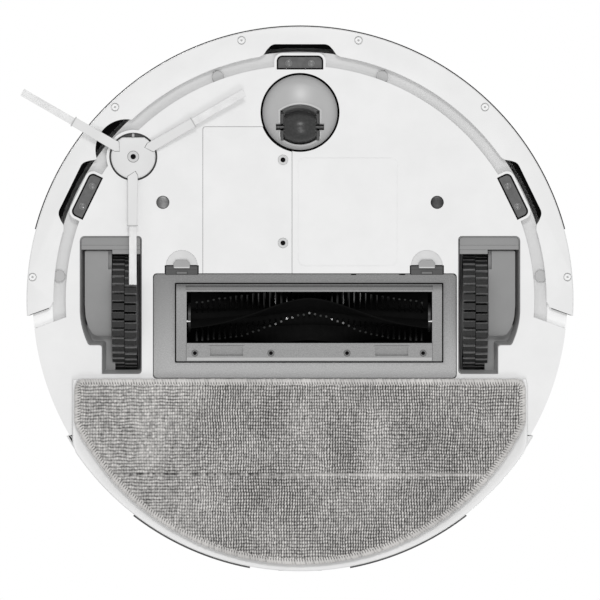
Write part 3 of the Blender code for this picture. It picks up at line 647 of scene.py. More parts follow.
# The frame and the guard get painted shade, darker towards the robot's front.
SPECKLED_PAINTED_SHADE = speckled_plastic_with_painted_shade("speckled_grey_plastic", 128, 180, COVER.y0, COVER.y1)
GUARD_SPECKLED_PAINTED_SHADE = speckled_plastic_with_painted_shade("speckled_guard_painted_shade", 100, 150, GUARD_FRONT + 1, MOUTH[2])
LIP_GREY = moulded_plastic("lip_plastic", 225, 0.4)
BLACK = moulded_plastic("black_plastic", 30, 0.4)
DEEP_BLACK = flat_black("deep_black_plastic", 8)
DARK_GREY = moulded_plastic("dark_grey_plastic", 70, 0.5, 0.3, 5.0)
SPRING_GREY = moulded_plastic("latch_spring_plastic", 112, 0.5)
TYRE_RUBBER = rubber("tyre_rubber", 37)
# A lighter rubber on the flanks of the tread blocks: a painted highlight.
FLANK_HIGHLIGHT_RUBBER = rubber("tyre_flank_painted_highlight", 124)
ROLLER_RUBBER = rubber("roller_rubber", 50, 0.3)
# A whiter copy of the white plastic: painted light on the ledges at the bumper's ends and on the glint
# pins, and the white of the bumper's screw heads.
PALE_AND_PAINTED_LIGHT_WHITE = moulded_plastic("pale_and_painted_light_white_plastic", 250, 0.35)
BRUSH_WHITE = moulded_plastic("brush_arm_plastic", 225, 0.45, 0.05)
DOME_GREY = moulded_plastic("dome_plastic", 180, 0.3, 0.1)
DOME_LIP = moulded_plastic("dome_lip_plastic", 198, 0.3)
BRUSH_BLACK = flat_black("brush_core_plastic", 4)
BLADE_BLACK = flat_black("brush_blade_rubber", 5)
TUFT_BLACK = shiny_black("brush_tuft_nylon", 10)
BUMPER_RUBBER = rubber("bumper_rubber", 16, 0.7)
STEEL = brushed_metal("steel", 190)
# The two charging contacts are one metal in two greys: the lighter grey paints a reflection on one, the
# darker grey paints shade on the other. The caster's axle uses the darker grey as its own dark metal.
LIT_CONTACT_METAL = brushed_metal("contact_metal", 110, 0.4)
DARK_METAL_AND_SHADED_CONTACT = brushed_metal("dark_metal_and_shaded_contact", 66, 0.4)
WINDOW = smoked_window("smoked_window", 80)
LENS = smoked_window("sensor_lens", 112)
PALE_BRISTLE = bristle("pale_bristle", 230, 240)
PAPER = pleated_paper("filter_paper")
BOARD = printed_board("circuit_board")
WRAP = battery_wrap("battery_wrap")
CLOTH = microfibre("microfibre", 40, 255)
HEM = microfibre("microfibre_hem", 76, 218)


# Chassis

def body_outline(front_radius, wing_radius, end_angle, wing_angle, rear):
    rear_angle = 180 - degrees(acos(rear / wing_radius))
    left = polar_arc(front_radius, 0, end_angle) + polar_arc(wing_radius, wing_angle, rear_angle)
    return left + [(-x, y) for x, y in left[:0:-1]]


def well_outline(side, grow=0.0, wheel_side_grow=None):
    """A wheel well's opening: its rear outer corner is cut back, and its outer side curves in."""
    inner = WELL.x0 - (grow if wheel_side_grow is None else wheel_side_grow)
    outer = WELL.x1 + grow
    front = WELL.y0 - grow
    rear = WELL.y1 + grow
    step_x = 126.6 + grow
    step_y = 28.7 + grow
    bend_start = 6.0
    shares = [i / 8 for i in range(9)]
    curve = [(outer - 5.6 * t * t, bend_start + (step_y - bend_start) * t) for t in shares]
    points = [(inner, front), (outer, front)] + curve + [(step_x, step_y), (step_x, rear), (inner, rear)]
    radii = [2.4, 3.2] + [0] * 8 + [2.0, 1.6, 0.4, 2.4]
    return [(side * x, y) for x, y in fillet(points, radii, pieces=6)]


def sensor_outline(width, inner, outer, radius):
    """Square inner corners towards the middle of the robot, and round outer ones."""
    points = [(-width / 2, -inner), (-width / 2, -outer), (width / 2, -outer), (width / 2, -inner)]
    return fillet(points, [0, radius, radius, 0])


def inset_rectangle(limits, inset, radius):
    left, right, front, rear = limits
    corner = max(radius - inset, 0.3)
    return rounded_rectangle(left + inset, right - inset, front + inset, rear - inset, corner)


def label_groove():
    """A fine line round the place for the label."""
    width = 0.65
    below = UNDERSIDE - 1
    deep = UNDERSIDE + 0.3
    walls = ((0, below), (0, deep), (width, deep), (width, below))
    return ringed([(inset_rectangle(LABEL_PLACE, inset, 4.5), z) for inset, z in walls])


def finger_dish(centre):
    """The bowl of the shallow round dish in front of a latch."""
    radius = 10.0
    depth = 2.0
    ball = (radius ** 2 + depth ** 2) / (2 * depth)
    steps = [radius * i / 8 for i in range(9)]
    profile = [(r, UNDERSIDE + 0.08 + depth - ball + sqrt(ball ** 2 - r ** 2)) for r in steps]
    return moved(turned(profile + [(radius, UNDERSIDE + 2.3), (0, UNDERSIDE + 2.3)], 72), centre, DISH_Y)


def finger_dishes():
    for name, centre in LATCH_CENTRES:
        clear = box(centre - 11.2, centre + 11.2, -22.4, -10, 0, 20)
        piece("finger_dish_" + name, finger_dish(centre), "chassis", SHADED_DISH_WHITE, cuts=[clear])


def chassis_openings(low, high):
    """Everything that is cut through the floor of the tub."""
    cuts = [cylinder(0, CASTER_Y, CASTER_HOLE_RADIUS, low, high, 96)]
    cuts.append(cylinder(BRUSH_X, BRUSH_Y, BRUSH_HOLE_RADIUS, low, 12.6, 72))
    door_gap = 0.22
    door = rounded_rectangle(LID.x0 - door_gap, LID.x1 + door_gap, LID.y0 - door_gap, COVER.y0 + 3, 1.8)
    gap = 0.35
    bay = rounded_rectangle(COVER.x0 - gap, COVER.x1 + gap, COVER.y0 - gap, COVER.y1 + gap, 2.4)
    cuts += [prism(outline, low, high) for outline in (door, bay)]
    cuts.append(label_groove())
    for _, centre in LATCH_CENTRES:
        cuts.append(box(centre - 10.9, centre + 10.9, -22.2, -16.0, low, high))
        cuts.append(cylinder(centre, DISH_Y, 10.1, low, high, 72))
    for name, side in SIDES:
        cuts.append(prism(well_outline(side, 0.25), low, high))
        cuts.append(cylinder(*centre_of(span("charging_contact_" + name)), 4.2, low, high))
    edge = SENSOR_DEPTH / 2 + 0.15
    for _, angle in SENSOR_ANGLES:
        outline = sensor_outline(SENSOR_WIDTH + 0.3, SENSOR_RADIUS - edge, SENSOR_RADIUS + edge, 3.6)
        cuts.append(rotated(prism(outline, low, LEDGE_LOW + 4), angle))
    return cuts


def chassis_shell():
    outer = body_outline(FRONT_RADIUS, WING_RADIUS, FRONT_END_ANGLE, WING_ANGLE, BASE.y1)
    inner = body_outline(
        FRONT_RADIUS - 2, WING_RADIUS - 2, FRONT_END_ANGLE + 0.8, WING_ANGLE + 0.8, BASE.y1 + 5
    )
    joins = [cylinder(BRUSH_X, BRUSH_Y, 17.2, UNDERSIDE, 14.4, 72)]
    mount_width = SENSOR_WIDTH + 2 * SENSOR_BEZEL
    mount_edge = SENSOR_RADIUS + SENSOR_DEPTH / 2 + SENSOR_BEZEL
    for _, angle in SENSOR_ANGLES:
        mount = sensor_outline(mount_width, SENSOR_RADIUS - 6, mount_edge, 5.0)
        joins.append(rotated(prism(mount, UNDERSIDE, LEDGE_LOW + 1), angle))
    cuts = [prism(inner, FLOOR_TOP, TUB_TOP + 1)] + chassis_openings(UNDERSIDE - 1, FLOOR_TOP + 1)
    piece("chassis_shell", prism(outer, UNDERSIDE, TUB_TOP), "chassis", WHITE, joins, cuts,
          replaces="chassis_base", bevel=0.4)


def groove_floor():
    """The shallow channel between the chassis and the bumper: its floor is slightly hollow, and a darker
    white paints the shade in it.
    """
    inner = FRONT_RADIUS - 0.5
    outer = LEDGE_OUTER_RADIUS
    middle = (FRONT_RADIUS + outer) / 2
    low = LEDGE_LOW
    profile = [
        (inner, low), (middle - 2.5, low + 0.5), (middle, low + 0.65), (middle + 2.5, low + 0.5),
        (outer, low), (outer, low + 2), (inner, low + 2),
    ]
    piece("groove_floor", turned(profile, start=-95.2, end=95.2), "chassis", SHADED_GROOVE_WHITE, bevel=0.2)


def bumper_end_steps():
    """The ledges that the slanting ends of the bumper close over, in a whiter plastic that paints light on
    them where they lie in shade.
    """
    for name, side in SIDES:
        step = sector(LEDGE_OUTER_RADIUS - 0.5, 171.2, side * 88, side * 96.0, 14.3, 15.3)
        piece("bumper_end_step_" + name, step, "chassis", PALE_AND_PAINTED_LIGHT_WHITE)


def guide_pegs():
    """The round pegs in the channel that guide the bumper."""
    radius = 3.85
    low = 13.9
    high = LEDGE_LOW + 0.8
    profile = fillet([(0, low), (radius, low), (radius, high), (0, high)], [0, 0.5, 0, 0], 18)
    pegs = [moved(turned(profile, 40), *polar(*place)) for place in PEG_PLACES]
    piece("bumper_guide_pegs", merged(pegs), "chassis", PEG_GREY)


def screw_shape(radius, hole, low, high, steps=32):
    """A screw head seen from below: a rim, a shallow dish and a round drive hole."""
    profile = [
        (0, low + 1.2), (hole, low + 1.2), (hole, low + 0.35), (radius * 0.62, low + 0.2),
        (radius * 0.8, low), (radius, low + 0.25), (radius, high), (0, high),
    ]
    return turned(profile, steps)


def screw_set(name, body, places, head, drive, head_material, drive_shade_material):
    """Screws at these places, with a dark disc at the bottom of each drive hole as a piece of its own:
    painted shade in the holes.

    The head is (radius, hole radius, low, high) and the drive is (radius, low, high, steps).
    """
    heads = [moved(screw_shape(*head), x, y) for x, y in places]
    piece(name + "_screws", merged(heads), body, head_material)
    # Painted shade: a dark disc fills the bottom of each drive hole.
    drive_shades = [moved(cylinder(0, 0, *drive), x, y) for x, y in places]
    piece(name + "_screw_drive_shades", merged(drive_shades), body, drive_shade_material)


def battery_door():
    rear = COVER.y0 - 0.35
    corners = [(LID.x0, LID.y0), (LID.x1, LID.y0), (LID.x1, rear), (LID.x0, rear)]
    outline = fillet(corners, [1.6, 1.6, 0.3, 0.3])
    cuts = [cylinder(0, CASTER_Y, CASTER_HOLE_RADIUS + 0.35, 0, 20, 96)]
    cuts += [cylinder(x, y, 3.3, 0, UNDERSIDE + 0.9) for x, y in DOOR_SCREWS]
    piece("battery_door", prism(outline, LID.z0, LID.z1), "chassis", WHITE, cuts=cuts,
          replaces="battery_cover", bevel=0.25)
    screw_set("battery_door", "chassis", DOOR_SCREWS, (3.05, 1.6, UNDERSIDE + 0.1, UNDERSIDE + 1.6),
              (1.58, UNDERSIDE + 0.5, UNDERSIDE + 1.25, 24), SCREW_GREY, DEEP_BLACK)


def sensor_lens(offset):
    """One of the two small lenses behind a sensor's window."""
    low = UNDERSIDE
    profile = [
        (0, low + 0.78), (0.8, low + 0.62), (1.5, low + 0.82), (1.7, low + 0.5), (2.2, low + 0.5),
        (2.3, low + 0.95), (0, low + 0.95),
    ]
    return moved(turned(profile, 32), offset, -SENSOR_RADIUS + 0.5)


def cliff_sensors():
    half = SENSOR_DEPTH / 2
    rim_width = 0.8
    for name, angle in SENSOR_ANGLES:
        outline = sensor_outline(SENSOR_WIDTH, SENSOR_RADIUS - half, SENSOR_RADIUS + half, 3.5)
        inset = sensor_outline(
            SENSOR_WIDTH - 2 * rim_width, SENSOR_RADIUS - half + rim_width,
            SENSOR_RADIUS + half - rim_width, 2.8,
        )
        rim = rotated(prism(outline, UNDERSIDE + 0.5, 15.0), angle)
        floor = rotated(prism(inset, UNDERSIDE - 1, UNDERSIDE + 1.0), angle)
        piece("sensor_rim_" + name, rim, "chassis", DEEP_BLACK, cuts=[floor],
              replaces="cliff_sensor_" + name, bevel=0.15)
        pane = rotated(prism(inset, UNDERSIDE + 0.85, UNDERSIDE + 1.2), angle)
        piece("sensor_pane_" + name, pane, "chassis", WINDOW, bevel=0.1)
        lenses = [rotated(sensor_lens(offset), angle) for offset in (-7.2, 7.2)]
        piece("sensor_lenses_" + name, merged(lenses), "chassis", LENS)


def charging_contacts():
    # Painted reflection and painted shade: the same contact metal in a lighter and a darker grey.
    for name, material in (("left", DARK_METAL_AND_SHADED_CONTACT), ("right", LIT_CONTACT_METAL)):
        node = span("charging_contact_" + name)
        radius = (node.x1 - node.x0) / 2
        low = node.z0
        profile = [
            (0, low - 0.05), (radius - 1.2, low), (radius - 0.3, low + 0.25), (radius, low + 0.7),
            (radius, node.z1), (0, node.z1),
        ]
        piece("contact_disc_" + name, moved(turned(profile, 48), *centre_of(node)), "chassis", material,
              replaces="charging_contact_" + name)


# Bumper

def sensor_pocket(angle):
    """The cut in the bumper's flange outside a cliff sensor, with curved sides."""
    points = [(-29.0, -154.0), (-23.2, -157.2), (-21.2, -160.2), (-17.9, -163.8)]
    points += [(-x, y) for x, y in points[::-1]]
    outline = fillet(points, [0, 3.0, 8.0, 5.5, 5.5, 8.0, 3.0, 0], 8)
    return rotated(prism(outline, BUMPER.z0 - 1, BUMPER.z0 + 3.4), angle)


def bumper_end_cutter(side):
    """Everything behind the slanting end of the bumper."""
    inner = Vector(polar(BUMPER_INNER_RADIUS, BUMPER_INNER_END))
    outer = Vector(polar(BUMPER_RADIUS, BUMPER_OUTER_END))
    along = (outer - inner).normalized()
    corners = [
        inner - Vector((4, 0)), inner - Vector((0, 3.4)), inner + along * 2.4, outer + along * 6,
        outer + along * 6 + Vector((0, 14)), inner - Vector((4, -14)),
    ]
    outline = fillet([(x, y) for x, y in corners], [0, 1.2, 2.4, 0, 0, 0], 12)
    return prism([(side * x, y) for x, y in outline], 0, TUB_TOP + 5)


def bumper_cover():
    """The flange and the outer wall, with a channel in the wall for the rubber band."""
    low = BUMPER.z0
    flange_top = low + 2.4
    outer = BUMPER_RADIUS
    wall = outer - BUMPER_WALL
    channel = outer - 1.2
    channel_low = STRIP.z0 - 0.3
    channel_high = STRIP.z1 + 0.3
    points = [
        (BUMPER_INNER_RADIUS, low), (outer, low), (outer, channel_low), (channel, channel_low),
        (channel, channel_high), (outer, channel_high), (outer, BUMPER.z1), (wall, BUMPER.z1),
        (wall, flange_top), (BUMPER_INNER_RADIUS, flange_top),
    ]
    profile = fillet(points, [0.4, 1.0, 0.3, 0, 0, 0.3, 1.4, 0.4, 0.8, 0.4], 30)
    fillers = [
        sector(outer - 1.6, outer, side * (STRIP_HALF_ANGLE + 0.4), side * BUMPER_SWEEP,
               STRIP.z0 - 0.6, STRIP.z1 + 0.6)
        for _, side in SIDES
    ]
    cuts = [bumper_end_cutter(side) for _, side in SIDES]
    cuts += [sensor_pocket(angle) for _, angle in SENSOR_ANGLES]
    cuts.append(cylinder(*polar(147.1, -49.2), 19.6, low - 1, flange_top + 1, 96))
    cuts += [cylinder(*polar(*place), 2.75, low - 1, low + 1.9, 32) for place in SCREW_PLACES]
    piece("bumper_cover", turned(profile, start=-BUMPER_SWEEP, end=BUMPER_SWEEP), "bumper", BRIGHT,
          fillers, cuts, replaces="bumper_shell", bevel=0.25)


def bumper_band():
    """The black rubber strip in the bumper's outer wall."""
    inner = BUMPER_RADIUS - 0.9
    corners = [(inner, STRIP.z0), (STRIP_RADIUS, STRIP.z0), (STRIP_RADIUS, STRIP.z1), (inner, STRIP.z1)]
    profile = fillet(corners, [0, 0.7, 0.7, 0], 30)
    piece("bumper_band", turned(profile, start=-STRIP_HALF_ANGLE, end=STRIP_HALF_ANGLE), "bumper",
          BUMPER_RUBBER, replaces="bumper_strip")


def bumper_end_dark_strips():
    """Thin black strips along the slanting ends of the bumper."""
    for name, side in SIDES:
        inner = Vector(polar(BUMPER_INNER_RADIUS + 3.2, BUMPER_INNER_END + 0.30))
        end = Vector(polar(BUMPER_RADIUS - 1.6, BUMPER_OUTER_END - 0.12))
        thick = Vector((0, 0.75))
        outline = [inner, end, end + thick * 0.4, inner + thick]
        end_strip = prism([(side * p.x, p.y) for p in outline], BUMPER.z0 + 0.6, LEDGE_LOW - 1.6)
        piece("bumper_end_dark_strip_" + name, end_strip, "bumper", BLACK)


def bumper():
    bumper_cover()
    low = BUMPER.z0
    places = [polar(*place) for place in SCREW_PLACES]
    screw_set("bumper", "bumper", places, (2.1, 0.75, low + 0.1, low + 1.8),
              (0.73, low + 0.4, low + 1.25, 16), PALE_AND_PAINTED_LIGHT_WHITE, DRIVE_SHADE_GREY)
    bumper_band()
    bumper_end_dark_strips()


# Drive wheels

def wheel_well(name, side):
    """The liner of a wheel well: its walls lean inwards up to a shoulder, and stand wider above it."""
    mouth = well_outline(side, -0.15)
    shoulder = well_outline(side, -2.4, -0.5)
    wide = well_outline(side, -0.9)
    shoulder_height = 21.0
    hollow = stacked([
        (mouth, 5.0), (mouth, WELL.z0 + 0.3), (shoulder, shoulder_height), (wide, shoulder_height + 0.8),
        (wide, WELL.z1 - 1.5),
    ])
    liner = prism(well_outline(side), WELL.z0, WELL.z1)
    piece("well_liner_" + name, liner, "chassis", LIT_LINER_GREY, cuts=[hollow], replaces="wheel_well_" + name)


def well_flap_shape(side):
    """The flap over the front end of the well, with a ridge along its rear edge."""
    front = WELL.y0 + 0.2
    end = ARM_FRONT - 0.5
    wheel_end = TYRE.y0 - 0.5
    left = WELL.x0 + 0.6
    right = WELL.x1 - 0.6
    step = ARM_INNER - 0.4
    plan = [(left, front), (right, front), (right, end), (step, end), (step, wheel_end), (left, wheel_end)]
    flap = prism([(side * x, y) for x, y in plan], 10.8, 12.3)
    ridge = box(*sorted((side * left, side * right)), end - 2.8, end, 10.35, 11.5)
    return flap, ridge


def well_covers(name, side):
    """A flap covers the front end of the well, and a shelf its rear; both are trimmed to its walls."""
    flap, ridge = well_flap_shape(side)
    rear = WELL.y1 - 0.6
    plan = [(118.4, ARM_REAR + 0.9), (137.6, ARM_REAR - 7.5), (137.6, rear), (118.4, rear)]
    shelf = prism([(side * x, y) for x, y in plan], 21.0, 23.0)
    covers = [
        piece("well_flap_" + name, flap, "chassis", MID_GREY, [ridge], bevel=0.5),
        piece("well_shelf_" + name, shelf, "chassis", MID_GREY, bevel=0.3),
    ]
    for cover in covers:
        keep_shared(cover, prism(well_outline(side, -0.35), 0, 80))


def arm_plan(side):
    points = [
        (ARM_INNER, ARM_FRONT), (ARM_OUTER, ARM_FRONT), (ARM_OUTER, 3.2), (ARM_OUTER - 0.6, 11.5),
        (ARM_OUTER - 2.5, 18.0), (ARM_OUTER - 5.1, 21.8), (ARM_OUTER - 7.7, ARM_REAR),
        (ARM_INNER, ARM_REAR),
    ]
    return [(side * x, y) for x, y in fillet(points, [0.6, 1.2, 14.0, 14.0, 9.0, 4.0, 4.0, 0.6])]


def gearbox(name, side):
    """The arm beside the wheel: its underside is long and flat, and curls up at both ends."""
    top = span("suspension_arm_" + name).z1
    curl_start = 6
    under = [(ARM_FRONT, 13.2), (ARM_FRONT + 2, 12.6)]
    under += [(y, 12.1 + 0.012 * max(0, y - curl_start) ** 2) for y in range(-26, 24, 2)]
    under += [(ARM_REAR, 15.8), (ARM_REAR, top + 1), (ARM_FRONT, top + 1)]
    wheel_side, notch_side = sorted((side * ARM_INNER, side * (ARM_INNER + 1.6)))
    notch = box(wheel_side - 0.5, notch_side + 0.5, ARM_FRONT - 1, ARM_FRONT + 12.0, 0, 17.0)
    made = piece("gearbox_" + name, prism(arm_plan(side), 5, top), "suspension_" + name, MID_GREY,
                 cuts=[notch], replaces="suspension_arm_" + name, bevel=0.5, segments=3)
    keep_shared(made, drawn_across(under, side * 115.0, side * 145.0))


def tread_wheel_outline(blocks, tip, root, shift):
    """A gear-like outline: flat-topped tread blocks with narrow grooves between them."""
    points = []
    pitch = 360 / blocks
    block = ((0.0, root), (0.05, tip), (0.27, tip), (0.49, tip), (0.71, tip), (0.77, root))
    for i in range(blocks):
        start = (i + shift) * pitch
        for share, radius in block:
            place = radians(start + share * pitch)
            points.append((radius * cos(place), radius * sin(place)))
    return points


def paint_flank_highlights(mesh, centre):
    """The flanks between the tread blocks get a lighter rubber: a painted highlight."""
    mesh.materials.append(FLANK_HIGHLIGHT_RUBBER)
    for face in mesh.polygons:
        outward = face.center - centre
        outward.x = 0
        along_axle = abs(face.normal.x)
        along_radius = abs(face.normal.dot(outward.normalized()))
        if max(along_axle, along_radius) < 0.5:
            face.material_index = 1


def tyre(name, side):
    """Two rows of tread blocks, staggered, round a plain black ring."""
    blocks = 39
    stagger = 0.22
    groove_depth = 3.2
    carcass_bore = 28.6
    radius = (TYRE.z1 - TYRE.z0) / 2
    centre = (side * (TYRE.x0 + TYRE.x1) / 2, (TYRE.y0 + TYRE.y1) / 2, radius)
    half = (TYRE.x1 - TYRE.x0) / 2
    body = "drive_wheel_" + name
    for number, (low, high, shift) in enumerate(((-half, -0.15, 0.0), (0.15, half, stagger)), 1):
        row = prism(tread_wheel_outline(blocks, radius, radius - groove_depth, shift), low, high)
        hole = cylinder(0, 0, radius - 4.4, -half - 1, half + 1, 96)
        tread = piece(f"tyre_tread_{name}_{number}", along_x(row, *centre), body, TYRE_RUBBER,
                      cuts=[along_x(hole, *centre)], bevel=0.25)
        paint_flank_highlights(tread.data, Vector(centre) * MM)
    edge = half - 0.6
    ring = [(carcass_bore, edge), (radius - 2.9, edge), (radius - 2.9, -edge), (carcass_bore, -edge)]
    piece("tyre_carcass_" + name, along_x(turned(ring, 96), *centre), body, DEEP_BLACK,
          replaces="tyre_" + name, bevel=0.2)


# Caster

def dome_height(radius):
    """The caster's dome is nearly flat in the middle and curls up towards its rim."""
    return 4.1 + 0.0085 * radius ** 2 + 0.1 * max(0.0, radius - 18.5) ** 2


def fork_slot(grow=0.0):
    """The slot round the roller: an arched front, straight sides and a curved rear."""
    half = 12.6 + grow
    front_radius = 21.8 + grow
    turn = degrees(acos(half / front_radius))
    arch = circle_arc(0, -103.2, front_radius, turn - 180, -turn, 4)
    rear = circle_arc(0, -118.0, 18.6 + grow, 47.4, 132.6, 6)
    return arch + rear


def caster_dome():
    profile = [(r, dome_height(r)) for r in [DOME_RADIUS * i / 24 for i in range(25)]]
    shoulder = DOME.z1 - 11
    profile += [
        (DOME_RADIUS, 13.6), (23.4, 14.4), (23.4, shoulder), (5, shoulder), (5, DOME.z1), (0, DOME.z1),
    ]
    cuts = [prism(fork_slot(), -1, 24.6)]
    cuts.append(box(-15.4, 15.4, AXLE_Y - 1.9, AXLE_Y + 1.9, -1, 13.4))
    cuts.append(box(-15.6, 15.6, AXLE_Y - 2.6, AXLE_Y + 2.6, -1, 7.2))
    piece("caster_dome", moved(turned(profile, 120), 0, CASTER_Y), "caster", DOME_GREY, cuts=cuts,
          replaces="caster_fork", bevel=0.9, segments=3)


def caster_slot_lip():
    """A fine raised lip round the slot, which follows the dome."""
    rings = []
    for grow, rise in ((1.5, 0.15), (1.2, -0.3), (0.3, -0.3), (0.0, 0.3), (0.0, 2.0), (1.5, 2.0)):
        path = resampled(fork_slot(grow), 120)
        rings.append([(x, y, dome_height(np.hypot(x, y - CASTER_Y)) + rise) for x, y in path])
    axle_gap = box(-16, 16, AXLE_Y - 2.7, AXLE_Y + 2.7, -1, 20)
    piece("caster_slot_lip", lofted(rings, cyclic=True), "caster", DOME_LIP, cuts=[axle_gap])


def caster_cheeks():
    """Dark blocks inside the slot, in front of the axle's ends and behind them."""
    cheeks = []
    for _, side in SIDES:
        left, right = sorted((side * 10.5, side * 12.4))
        cheeks.append(box(left, right, AXLE_Y - 8.6, AXLE_Y - 2.1, 7.4, 14))
        cheeks.append(box(left, right, AXLE_Y + 2.1, AXLE_Y + 8.6, 7.4, 14))
    piece("caster_cheeks", merged(cheeks), "caster", DARK_GREY, bevel=0.3)


def caster_roller():
    """The barrel wheel: thick in the middle, with a bore for its axle."""
    bore = 1.9
    crowning = 2.9
    radius = (ROLLER.z1 - ROLLER.z0) / 2
    half = (ROLLER.x1 - ROLLER.x0) / 2
    barrel = [(radius - crowning * (t / 12) ** 2, half * t / 12) for t in range(-12, 13)]
    shape = turned([(bore, -half)] + barrel + [(bore, half)], 72)
    piece("caster_roller", along_x(shape, 0, AXLE_Y, radius), "caster_roller", ROLLER_RUBBER,
          replaces="caster_wheel", bevel=0.3)


# Side brush

def place_on_brush(shape, direction):
    return moved(rotated(shape, direction), BRUSH_X, BRUSH_Y)


def arm_height(reach):
    """The height of the middle of an arm: it slopes down from the hub to its tip."""
    hub_height = 7.6
    drop = 4.0
    start = 8.0
    return hub_height - drop * (reach - start) / (ARM_REACH - start)


def flattened_circle(radius, flat):
    """A circle with its front side cut off straight."""
    reach = degrees(acos(min(1.0, flat / radius)))
    arc = circle_arc(0, 0, radius, reach - 90, 270 - reach, 5)
    return resampled(arc, 96)


def arm_root():
    """The plan of an arm: a slanted point inside the hub, then a bar that narrows a little."""
    return [
        (9.3, -1.3), (12.1, -2.9), (14.6, -2.9), (ARM_REACH, -2.5), (ARM_REACH, 3.3), (14.6, 3.5),
        (12.8, 3.8),
    ]


def grown(points, margin):
    """A convex outline with its points moved away from the middle by up to a margin along each axis."""
    centre = np.mean(points, axis=0)
    spread = []
    for x, y in points:
        way = Vector((x - centre[0], y - centre[1]))
        spread.append((x + margin * way.x / max(abs(way.x), 1), y + margin * way.y / max(abs(way.y), 1)))
    return spread


def side_brush_rotor():
    radius = BRUSH_HUB_RADIUS - 0.3
    flat = 12.3
    layers = [(radius - 1.6, 6.2), (radius - 0.5, 6.6), (radius, 7.3), (radius, 11.4)]
    hub = stacked([(flattened_circle(r, flat - radius + r), z) for r, z in layers])
    cuts = [cylinder(BRUSH_X, BRUSH_Y, 3.75, 0, 8)]
    for direction in ARM_DIRECTIONS:
        cuts.append(place_on_brush(prism(grown(arm_root(), 0.2), 0, 9.6), direction))
    piece("side_brush_rotor", moved(hub, BRUSH_X, BRUSH_Y), "side_brush", BRUSH_WHITE, cuts=cuts,
          replaces="side_brush_hub", bevel=0.25)


def side_brush_arm(number, direction):
    """A sloping arm, with a short collar round its end."""
    rings = [[(x, y, arm_height(x) + thick) for x, y in arm_root()] for thick in (-1.25, 1.25)]
    arm = place_on_brush(lofted(rings), direction)
    piece(f"side_brush_arm_{number}", arm, "side_brush", BRUSH_WHITE, bevel=0.3)
    start = ARM_REACH - 0.2
    end = ARM_REACH + 0.5
    tip_height = arm_height(ARM_REACH)
    outline = [(start, -3.1), (end, -3.1), (end, 3.8), (start, 3.8)]
    collar = place_on_brush(prism(outline, tip_height - 1.4, tip_height + 1.4), direction)
    piece(f"tuft_collar_{number}", collar, "side_brush", PEG_GREY, bevel=0.1)


def strand(random, across, row, start_z):
    """One bristle, which slopes down to the floor and strays a little."""
    spread = across * (1.0 + random.uniform(-0.02, 0.1))
    far = TUFT_REACH - random.uniform(0.0, 0.3)
    rise = 0.2 * (row - 0.5)
    drop = start_z + rise - 0.2
    end_z = 1.2 + rise + random.uniform(-0.05, 0.08)
    root = ARM_REACH - 1.5
    corners = [radians(a) for a in range(0, 360, 60)]
    rings = []
    for t in (0.0, 0.33, 0.66, 1.0):
        x = root + (far - root) * t
        y = across + (spread - across) * t
        z = drop + (end_z - drop) * (t ** 0.9)
        thick = 0.29 - 0.03 * t
        rings.append([(x, y + thick * cos(a), z + thick * sin(a)) for a in corners])
    return lofted(rings)


def tuft(number, direction):
    """A flat bundle of bristles in two rows, held by the end of an arm."""
    strands = []
    random = np.random.default_rng(40 + number)
    for row in range(2):
        for i in range(12):
            across = -1.9 + 4.2 * (i + 0.5 * row) / 11.5 + random.uniform(-0.03, 0.03)
            bristle_shape = strand(random, across, row, arm_height(ARM_REACH))
            strands.append(place_on_brush(bristle_shape, direction))
    piece(f"bristle_tuft_{number}", merged(strands), "side_brush", PALE_BRISTLE,
          replaces=f"side_brush_tuft_{number}")


def side_brush_screw():
    """The ring in the middle of the hub, and a black disc in its bore: painted shade in the hole."""
    ring = [(1.7, 6.1), (3.3, 6.1), (3.6, 6.5), (3.6, 8), (1.7, 8)]
    piece("side_brush_boss", moved(turned(ring, 48), BRUSH_X, BRUSH_Y), "side_brush", LIGHT_GREY,
          replaces="side_brush_screw", bevel=0.15)
    piece("side_brush_bore_shade", cylinder(BRUSH_X, BRUSH_Y, 1.75, 7.2, 8.0, 32), "side_brush", DEEP_BLACK)


def side_brush_seat():
    """What shows of the chassis behind the hub: a dark recess and a small key."""
    disc = cylinder(BRUSH_X, BRUSH_Y, BRUSH_HOLE_RADIUS + 0.3, 12.0, 12.6, 72)
    piece("side_brush_recess", disc, "chassis", DARK_GREY)
    key = box(BRUSH_X - 0.9, BRUSH_X + 0.7, BRUSH_Y - 15.0, BRUSH_Y - 12.6, 11.65, 12.4)
    piece("side_brush_key", key, "chassis", LIGHT_GREY, bevel=0.2)


def side_brush():
    side_brush_rotor()
    for number, direction in enumerate(ARM_DIRECTIONS, 1):
        side_brush_arm(number, direction)
    side_brush_screw()
    side_brush_seat()
    for number, direction in enumerate(ARM_DIRECTIONS, 1):
        tuft(number, direction)


# Main brush, its cover and its guard

